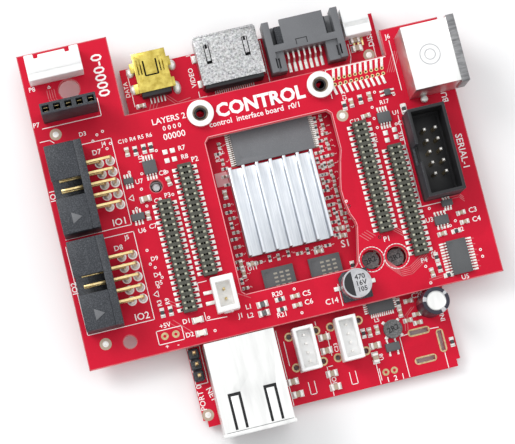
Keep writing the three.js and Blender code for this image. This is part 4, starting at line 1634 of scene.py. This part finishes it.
PLUG_PARTS = [
    ("interface_capacitors", (1.55, 0.8, 0.75, "ceramic_tan"), PLUG_CAPACITORS, "plastic_olive"),
    ("interface_wide_parts", (2.0, 1.2, 1.0, "ceramic_tan"), PLUG_WIDE, "plastic_olive"),
    ("interface_beads", (2.0, 1.2, 1.0, "ferrite"), PLUG_BEADS, "ferrite_grey"),
    ("interface_resistors", (1.6, 0.8, 0.45, "resistor_black"), PLUG_RESISTORS, "plastic_black"),
    ("interface_lights", (2.0, 1.2, 0.8, "light_emitter", 0.2), PLUG_LIGHTS, "plastic_white"),
]
MAIN_PARTS = [
    ("main_wide_parts", (2.1, 1.3, 1.1, "ceramic_tan", 0.28), MAIN_WIDE, "plastic_olive"),
    ("main_capacitors", (1.6, 0.8, 0.8, "ceramic_tan"), MAIN_CAPACITORS, "plastic_olive"),
    ("main_resistors", (1.6, 0.8, 0.45, "resistor_black"), MAIN_RESISTORS, "plastic_black"),
]


def passives(parts, level, body):
    """Soldered two-ended parts: each row has a name, a shape, its spots and a slot."""
    for name, shape, spots, slot in parts:
        lay(name, passive_model(*shape), on_board(spots, level), body, slot)


def bare_pads():
    """Square pads of the jumpers that carry no part."""
    pads = []
    for x, y, turn in PLUG_JUMPERS:
        pads += [place(x, y, PLUG_TOP, turn) @ place(side * 0.85, 0) for side in (-1, 1)]
    pad = coat(soften(block("pad", (-0.55, -0.55, 0), (0.55, 0.55, 0.12)), 0.05, 2), "solder")
    lay("interface_bare_pads", pad, pads, PLUG, "shell_tin")


CROWDED_COLUMNS = [(-14.2, -12.6, -13.5, 6.0), (-12.6, -11.7, 10.5, 20.5), (9.0, 10.0, -6.5, 13.0)]
CROWDED_FIELDS = [(10.9, 13.9, 10.0, 20.8), (10.2, 12.2, -1.0, 10.0), (10.6, 12.6, -5.5, -1.0)]


def crowded_rows():
    """Tiny parts packed round the heatsink, jittered by a fixed seed."""
    dice = random.Random(7)
    rows = []
    for x0, x1, y0, y1 in CROWDED_COLUMNS:
        y = y0
        while y < y1:
            rows.append((dice.uniform(x0, x1), y, dice.choice((0, 0, 90))))
            y += dice.uniform(1.4, 2.2)
    for x0, x1, y0, y1 in CROWDED_FIELDS:
        y = y0
        while y < y1:
            x = x0
            while x < x1:
                spot = x + dice.uniform(-0.15, 0.15), y + dice.uniform(-0.2, 0.2)
                rows.append((*spot, dice.choice((0, 90, 90))))
                x += 1.7
            y += 1.75
    for x in range(-5, 4):
        spot = x * 2.3 + dice.uniform(-0.2, 0.2), -8.5 + dice.uniform(-0.5, 0.5)
        rows.append((*spot, dice.choice((0, 90))))
    return rows


def crowded_parts():
    rows = crowded_rows()
    passives([
        ("main_tiny_capacitors", (0.95, 0.5, 0.5, "ceramic_brown", 0.2), rows[::2],
         "plastic_olive"),
        ("main_tiny_resistors", (0.95, 0.5, 0.35, "resistor_black", 0.2), rows[1::2],
         "plastic_black"),
    ], MAIN_TOP, MAIN)
    dice = random.Random(11)
    places = []
    for x, y, _ in rows:
        for step in range(3):
            where = (x + 0.9 + step * 0.28, y + dice.uniform(-0.15, 0.15))
            places.append(place(*where, MAIN_TOP, dice.choice((0, 45, 90)), (0.3, 0.09, 0.015)))
    lay("main_board_ticks", coat(strip_model(), "ink"), places, MAIN, "board_red")
    # A pale square patch on the main board, lighter than the mask.
    near, far = (-14.4, 10.4, MAIN_TOP), (-11.6, 13.6, MAIN_TOP + 0.03)
    bare = coat(block("main_board_pale_patch", near, far), "pale_rim")
    pick(bare, "FACE", faces_up)
    inset(0.1)
    finish_edit()
    hand_over(bare, MAIN, "board_red")


class BOARDS_OT_passives(bpy.types.Operator):
    """Solder the resistors, capacitors and light emitters onto both boards"""

    bl_idname = "boards.passives"
    bl_label = "Small soldered parts"

    def execute(self, context):
        passives(PLUG_PARTS, PLUG_TOP, PLUG)
        bare_pads()
        passives(MAIN_PARTS, MAIN_TOP, MAIN)
        crowded_parts()
        return {"FINISHED"}


# Inductors, round capacitors, button and standoffs
def inductor(node, name, label):
    """A ferrite drum with a raised rim, held by metal feet, with a printed value."""
    low, high = extent(node)
    x, y, radius = circle_of(low, high)
    drum = rod(name, (x, y, low.z + 0.1), (x, y, high.z), radius, 32)
    step_top(drum, 0.3, -0.12)
    waist = ring_model(radius + 0.4, radius - 0.3, 0.9, 32)
    waist.data.transform(place(x, y, low.z + (high.z - low.z) * 0.35))
    carve(drum, waist)
    soften(drum, 0.12, 2)
    hand_over(coat(drum, "ferrite"), MAIN, "ferrite_grey", node)
    foot = soften(block("foot", (-0.45, -0.3, 0), (0.45, 0.45, 0.5)), 0.12, 2)
    coat(foot, "solder")
    reach = radius * 0.8
    places = [
        place(x + a * reach, y + b * reach, MAIN_TOP, 45 * a * b)
        for a in (-1, 1) for b in (-1, 1)
    ]
    lay(name + "_feet", foot, places, MAIN, "shell_tin")
    value = lettering(name + "_value", [(label, x, y, 1.25, 14)], "deep_black", 0.04, high.z - 0.13)
    hand_over(value, MAIN, "ferrite_grey")


def tall_capacitor():
    """The standing capacitor: a dark sleeve with three narrow pale bands down it, round a bright
    vented top.
    """
    low, high = extent("tall_capacitor")
    x, y, radius = circle_of(low, high)
    can = rod("standing_capacitor", (x, y, low.z), (x, y, high.z), radius, 48)
    pick(can, "FACE", faces_up)
    inset(0.9)
    extrude(0, 0, -0.2)
    stretch_by((0.96, 0.96, 1), x, y)
    finish_edit()
    soften(can, 0.2, 3)
    coat(can, "sleeve_dark")
    inner = (radius - 0.85) * MM

    def on_top(face):
        return math.hypot(face.center.x - x * MM, face.center.y - y * MM) < inner
    coat(can, "satin_nickel", lambda face: on_top(face) and face.center.z > (high.z - 1) * MM)
    # Three narrow bands of paler metal run down the sleeve.
    pale_bands = (-65, 30, 160)

    def in_pale_band(face):
        angle = math.degrees(math.atan2(face.center.y / MM - y, face.center.x / MM - x))
        near = min(abs((angle - stripe + 180) % 360 - 180) for stripe in pale_bands)
        return near < 9 and not on_top(face)
    coat(can, "drawn_can", in_pale_band)
    hand_over(can, MAIN, "can_aluminium", "tall_capacitor")
    # The cross score is drawn in a darker metal than the top: painted shade in the grooves.
    cuts = [[(x - 1.4, y), (x + 1.4, y)], [(x, y - 1.4), (x, y + 1.4)]]
    draw_lines("standing_capacitor_vent", cuts, high.z - 0.28, 0.14, 0.05, "drawn_can",
               MAIN, "can_aluminium")


def filter_capacitor():
    """The surface-mounted can on its chamfered base, with a dark sector and its value."""
    dress_node("filter_capacitor_base", "filter_base", 0.15, 2, "header_black",
               PLUG, "plastic_black")
    low, high = extent("filter_capacitor_can")
    x, y, radius = circle_of(low, high)
    can = rod("filter_can", (x, y, low.z), (x, y, high.z), radius, 48)
    step_top(can, 0.35, -0.05)
    ring = ring_model(radius + 0.3, radius - 0.15, 0.5, 48)
    ring.data.transform(place(x, y, low.z + 0.9))
    carve(can, ring)
    soften(can, 0.22, 3)
    hand_over(coat(can, "drawn_can"), PLUG, "can_aluminium", "filter_capacitor_can")
    sector = rod("filter_sector", (x, y, high.z - 0.2), (x, y, high.z - 0.035), radius - 0.38, 48)
    tool = block("tool", (x - 0.9, y - 5, high.z - 1), (x + 5, y + 5, high.z + 1))
    carve(sector, tool)
    hand_over(coat(sector, "deep_black"), PLUG, "plastic_black")
    rows = [
        ("470", x + 0.85, y + 1.25, 1.15, 0), ("16V", x + 0.85, y - 0.15, 1.15, 0),
        ("105", x + 0.85, y - 1.55, 1.1, 0),
    ]
    value = lettering("filter_value", rows, "deep_black", 0.03, high.z - 0.06)
    hand_over(value, PLUG, "plastic_black")
    tab = soften(block("tab", (-0.9, -0.5, 0), (0.9, 0.5, 0.3)), 0.1, 2)
    coat(tab, "solder")
    places = [place(x - 3.9, y + 0.1, PLUG_TOP), place(x + 3.9, y + 0.1, PLUG_TOP)]
    lay("filter_tabs", tab, places, PLUG, "shell_tin")


def push_button():
    """The button under its access hole: a frame in dark steel for painted shade in the hole, and a
    round metal cap.
    """
    # The frame takes the dark steel: painted shade in the access hole.
    dress_node("button_body", "button_frame", 0.15, 2, "painted_shade_steel", MAIN, "shell_tin")
    low, high = extent("button_plunger")
    x, y, radius = circle_of(low, high)
    cap = rod("button_cap", (x, y, low.z), (x, y, high.z), radius, 32)
    step_top(cap, 0.2, -0.1)
    soften(cap, 0.1, 3)
    hand_over(coat(cap, "drawn_can"), BUTTON, "plastic_black", "button_plunger")
    foot = coat(soften(block("foot", (-0.5, -0.35, 0), (0.5, 0.35, 0.25)), 0.08, 2), "solder")
    places = [place(x + a * 1.1, y + b * 2.05, MAIN_TOP, 90) for a in (-1, 1) for b in (-1, 1)]
    lay("button_feet", foot, places, MAIN, "shell_tin")


def standoff(side):
    """A flanged metal bush with a chamfered hole."""
    node = f"standoff_{side}"
    low, high = extent(node)
    x, y = centre_of(low, high)
    bush = ring_model((high.x - low.x) / 2, 1.2, high.z - low.z, 40)
    bush.data.transform(place(x, y, low.z))
    bush.name = f"bush_{side}"
    tool = rod("chamfer", (x, y, high.z - 0.55), (x, y, high.z + 0.5), 1.2, 40)
    pick(tool, "FACE", faces_up)
    stretch_by((1.95, 1.95, 1), x, y)
    finish_edit()
    carve(bush, tool)
    soften(bush, 0.25, 3)
    coat(bush, "satin_nickel")

    # The chamfer and the bore take a darker tan metal: painted shade in the hole.
    def inside(face):
        reach = math.hypot(face.center.x - x * MM, face.center.y - y * MM)
        return reach < 2.2 * MM and face.normal.z < 0.97
    coat(bush, "chamfer_shade_metal", inside)
    hand_over(bush, PLUG, "shell_tin", node)
    # A black tube lines the bore: painted shade down the hole.
    barrel = ring_model(1.22, 0.95, high.z - low.z + 1.2, 32)
    barrel.data.transform(place(x, y, low.z - 1.5))
    barrel.name = f"bush_barrel_{side}"
    soften(barrel, 0.06, 2)
    hand_over(coat(barrel, "deep_black"), PLUG, "shell_tin")


class BOARDS_OT_round_parts(bpy.types.Operator):
    """Build the inductors, the round capacitors, the button and the standoffs"""

    bl_idname = "boards.round_parts"
    bl_label = "Round parts and button"

    def execute(self, context):
        inductor("inductor_power", "coil_power", "2R2")
        inductor("inductor_left", "coil_left", "2R2")
        inductor("inductor_right", "coil_right", "2R2")
        tall_capacitor()
        filter_capacitor()
        push_button()
        standoff("left")
        standoff("right")
        return {"FINISHED"}


# Undersides
FLIP = Matrix.Diagonal((1, -1, -1, 1))
BACK_CHIPS = [(-20.0, -16.5, 4.0, 5.0), (18.0, -17.5, 3.9, 4.9), (-14.0, 26.0, 6.0, 5.0)]
BACK_TRACKS = [
    (-27, 13, 5, 4), (-10, 21, 6, 5), (8, 21, 7, -3), (14, -24, 8, 4), (-24, -24, 9, 3),
    (-6, -13, 5, -5),
]


def through_pins(name, spots, level, body, radius=0.75):
    """Trimmed pins in cones of solder below a board."""
    cone = coat(solder_model(radius, 0.75, 0.34), "solder")
    places = [place(x, y, level) @ FLIP for x, y in spots]
    joints = scatter(name + "_joints", cone, places)
    pin = coat(pin_model(0.5, 0.3, 1.1), "gold_plate")
    pins = scatter(name + "_ends", pin, places)
    ring = coat(ring_model(radius + 0.15, 0.4, 0.03, 16), "solder")
    rings = scatter(name + "_pads", ring, places)
    hand_over(joined(name, [joints, pins, rings]), body, "shell_tin")


def undersides():
    rows = [(x, y) for x in (-39.35, -36.85) for y in [16.2 + i * PITCH for i in range(-2, 3)]]
    rows += [(x, y) for x in (-39.35, -36.85) for y in [-5.65 + i * PITCH for i in range(-2, 3)]]
    rows += [(34.3 + side * PITCH / 2, 5.75 + i * PITCH) for side in (-1, 1) for i in range(-2, 3)]
    rows += [(-43.05 + i * PITCH, 34.15) for i in range(-2, 3)]
    rows += [(-42.1 + (i - 1.5) * 2.5, 44.0) for i in range(4)]
    through_pins("interface_board_joints", rows, PLUG_BOTTOM, PLUG)
    rows = [(-28.7, -27.85 + i * PITCH) for i in (-1, 0, 1)]
    rows += [(x, -30.15 + (i - 1.5) * 2.0) for x in (-3.8, 6.05) for i in range(4)]
    rows += [(-22.2 + i * 1.02, -30.0 + (i % 2) * 2.5) for i in range(8)]
    rows += [(-26.2, -34.0), (-11.2, -34.0), (25.0, -26.95), (27.4, -26.95)]
    rows += [(25.3 + side, 35.2) for side in (-1.0, 1.0)]
    through_pins("main_board_joints", rows, 0.0, MAIN)
    borders = [rectangle(-28, -10, -12, 12), rectangle(12, -10, 28, 12), rectangle(-8, -8, 8, 8)]
    draw_lines("main_board_back_lines", borders, -0.015, 0.18, 0.015, "ink", MAIN)
    dice = random.Random(3)
    spread = []
    for i in range(28):
        x = -10 + (i % 7) * 3.2 + dice.uniform(-0.5, 0.5)
        y = -7 + (i // 7) * 4.6 + dice.uniform(-0.6, 0.6)
        spread.append((x, y, dice.choice((0, 90))))
    small = passive_model(1.0, 0.5, 0.5, "ceramic_brown", 0.2)
    wide = passive_model(1.7, 0.9, 0.9, "ceramic_tan")
    rows = [(x, y, 90) for x in (-26.5, -24.5, 22.5, 24.5, 26.5) for y in (-16.0, -19.0)]
    rows += [(x, 17.0, 0) for x in (-22, -18, -6, -2, 2, 6, 18, 22)]
    places = [place(x, y, 0, turn) @ FLIP for x, y, turn in rows]
    lay("main_board_back_wide_parts", wide, places, MAIN, "plastic_olive")
    for index, shape in enumerate(BACK_CHIPS):
        back_chip(f"main_board_back_chip_{index}", *shape)
    holes = [(dice.uniform(-28, 28), dice.uniform(-22, 36)) for i in range(150)]
    ring = coat(ring_model(0.3, 0.14, 0.03, 10), "mask_raised")
    places = [place(x, y, -0.03) for x, y in holes]
    lay("main_board_back_vias", ring, places, MAIN, "board_red")
    lines = []
    for x, y, dx, dy in BACK_TRACKS:
        for i in range(6):
            lines.append([(x + i * 0.5, y), (x + i * 0.5, y + 2), (x + i * 0.5 + dx, y + 2 + dy)])
    draw_lines("main_board_back_tracks", lines, -0.012, 0.16, 0.012, "mask_raised", MAIN)
    holes = [(dice.uniform(-50, -32), dice.uniform(-21, 28)) for i in range(60)]
    holes += [(dice.uniform(32, 42), dice.uniform(-21, 30)) for i in range(40)]
    ring = coat(ring_model(0.3, 0.14, 0.03, 10), "mask_raised")
    places = [place(x, y, PLUG_BOTTOM - 0.03) for x, y in holes]
    lay("interface_board_back_vias", ring, places, PLUG, "board_red")
    places = [place(x, y, 0, turn) @ FLIP for x, y, turn in spread]
    lay("main_board_back_capacitors", small, places, MAIN, "plastic_olive")


def back_chip(name, x, y, width, length):
    """A small leaded package under the main board."""
    half_x, half_y = width / 2, length / 2
    chip = soften(block(name, (-half_x, -half_y, 0.08), (half_x, half_y, 1.0)), 0.1, 2)
    chip.data.transform(place(x, y) @ FLIP)
    hand_over(coat(chip, "chip_epoxy"), MAIN, "chip_black")
    row = leads_model(side_count=4, pitch=FINE_PITCH, inner=half_x - 0.05, outer=half_x + 1.0,
                      width=0.4, height=0.5)
    row.data.transform(place(x, y) @ FLIP)
    row.name = name + "_leads"
    hand_over(row, MAIN, "shell_tin")


class BOARDS_OT_undersides(bpy.types.Operator):
    """Solder the pins and small parts on the backs of the boards"""

    bl_idname = "boards.undersides"
    bl_label = "Undersides"

    def execute(self, context):
        undersides()
        return {"FINISHED"}


# Stage
class BOARDS_OT_stage(bpy.types.Operator):
    """Set up the pale floor, the soft light and the camera"""

    bl_idname = "boards.stage"
    bl_label = "Stage"

    def execute(self, context):
        floor_level = min(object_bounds()[0][2], -0.0012)
        bpy.ops.object.select_all(action="DESELECT")
        bpy.ops.mesh.primitive_plane_add(size=6, location=(0, 0, floor_level))
        floor = settled("floor")
        coat(floor, "studio_white")
        floor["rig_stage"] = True
        world = bpy.data.worlds.new("studio")
        world.use_nodes = True
        background = world.node_tree.nodes["Background"]
        background.inputs["Color"].default_value = (0.97, 0.985, 1.0, 1.0)
        background.inputs["Strength"].default_value = context.scene.board_stage.fill
        context.scene.world = world
        self.lamp("key", (-0.55, 0.50, 0.75), 0.45, context.scene.board_stage.key)
        self.lamp("overhead", (0.10, 0.14, 1.00), 1.2, context.scene.board_stage.overhead)
        self.camera(context)
        context.scene.view_settings.view_transform = "Standard"
        return {"FINISHED"}

    def lamp(self, name, where, size, watts):
        """A square soft light that looks at the boards."""
        turn = (-Vector(where)).to_track_quat("-Z", "Y").to_euler()
        bpy.ops.object.light_add(type="AREA", location=where, rotation=turn)
        light = bpy.context.active_object
        light.name = name
        light.data.shape = "SQUARE"
        light.data.size = size
        light.data.energy = watts

    def camera(self, context):
        stage = context.scene.board_stage
        right = Vector((0.96954, -0.23898, 0.05364))
        backward = Vector((-0.08301, -0.11456, 0.98994)).normalized()
        right = (right - backward * right.dot(backward)).normalized()
        turn = Matrix((right, backward.cross(right), backward)).transposed().to_4x4()
        bpy.ops.object.camera_add()
        camera = bpy.context.active_object
        camera.name = "camera"
        camera.matrix_world = Matrix.Translation(Vector(stage.viewpoint)) @ turn
        camera.data.lens = stage.lens
        camera.data.sensor_width = 36
        camera.data.clip_start = 0.02
        camera.data.clip_end = 20
        context.scene.camera = camera


class BoardColours(bpy.types.PropertyGroup):
    """Colours that a user would change."""

    mask: bpy.props.FloatVectorProperty(
        name="Solder mask", description="Colour of both boards", size=4, subtype="COLOR",
        min=0, max=1, default=(0.60, 0.006, 0.030, 1.0),
    )
    nylon: bpy.props.FloatVectorProperty(
        name="Nylon", description="Colour of the wire sockets", size=4, subtype="COLOR",
        min=0, max=1, default=(0.96, 0.96, 0.95, 1.0),
    )


class BoardStage(bpy.types.PropertyGroup):
    """Light and view."""

    fill: bpy.props.FloatProperty(
        name="Fill", description="Strength of the light from all round", default=0.75, min=0,
    )
    key: bpy.props.FloatProperty(
        name="Key light", description="Power of the light that casts the shadow", default=4.5,
        min=0, unit="POWER",
    )
    overhead: bpy.props.FloatProperty(
        name="Overhead light", description="Power of the large light above", default=3.0,
        min=0, unit="POWER",
    )
    viewpoint: bpy.props.FloatVectorProperty(
        name="Viewpoint", description="Where the camera stands", size=3, unit="LENGTH",
        subtype="TRANSLATION", default=(-0.04223, -0.04744, 0.41673),
    )
    lens: bpy.props.FloatProperty(
        name="Lens", description="Focal length in millimetres", default=128.49, min=10,
    )


class BOARDS_PT_panel(bpy.types.Panel):
    """Lists the builders and the values that a user would change"""

    bl_idname = "BOARDS_PT_panel"
    bl_label = "Boards"
    bl_space_type = "VIEW_3D"
    bl_region_type = "UI"
    bl_category = "Boards"

    def draw(self, context):
        scene = context.scene
        column = self.layout.column(align=True)
        for builder in BUILDERS:
            column.operator(builder.bl_idname)
        for group, names in (
            (scene.board_colours, ("mask", "nylon")),
            (scene.board_stage, ("fill", "key", "overhead", "viewpoint", "lens")),
        ):
            for name in names:
                column.prop(group, name)


GROUPS = [BoardColours, BoardStage]
BUILDERS = [
    BOARDS_OT_boards,
    BOARDS_OT_words,
    BOARDS_OT_edge_connectors,
    BOARDS_OT_plug_connectors,
    BOARDS_OT_strips,
    BOARDS_OT_chips,
    BOARDS_OT_passives,
    BOARDS_OT_round_parts,
    BOARDS_OT_undersides,
    BOARDS_OT_stage,
]
CLASSES = GROUPS + BUILDERS + [BOARDS_PT_panel]


def register():
    for made in CLASSES:
        bpy.utils.register_class(made)
    bpy.types.Scene.board_colours = bpy.props.PointerProperty(type=BoardColours)
    bpy.types.Scene.board_stage = bpy.props.PointerProperty(type=BoardStage)


def unregister():
    del bpy.types.Scene.board_colours
    del bpy.types.Scene.board_stage
    for made in reversed(CLASSES):
        bpy.utils.unregister_class(made)


def main():
    register()
    for builder in BUILDERS:
        group, name = builder.bl_idname.split(".")
        getattr(getattr(bpy.ops, group), name)()


if __name__ == "__main__":
    main()
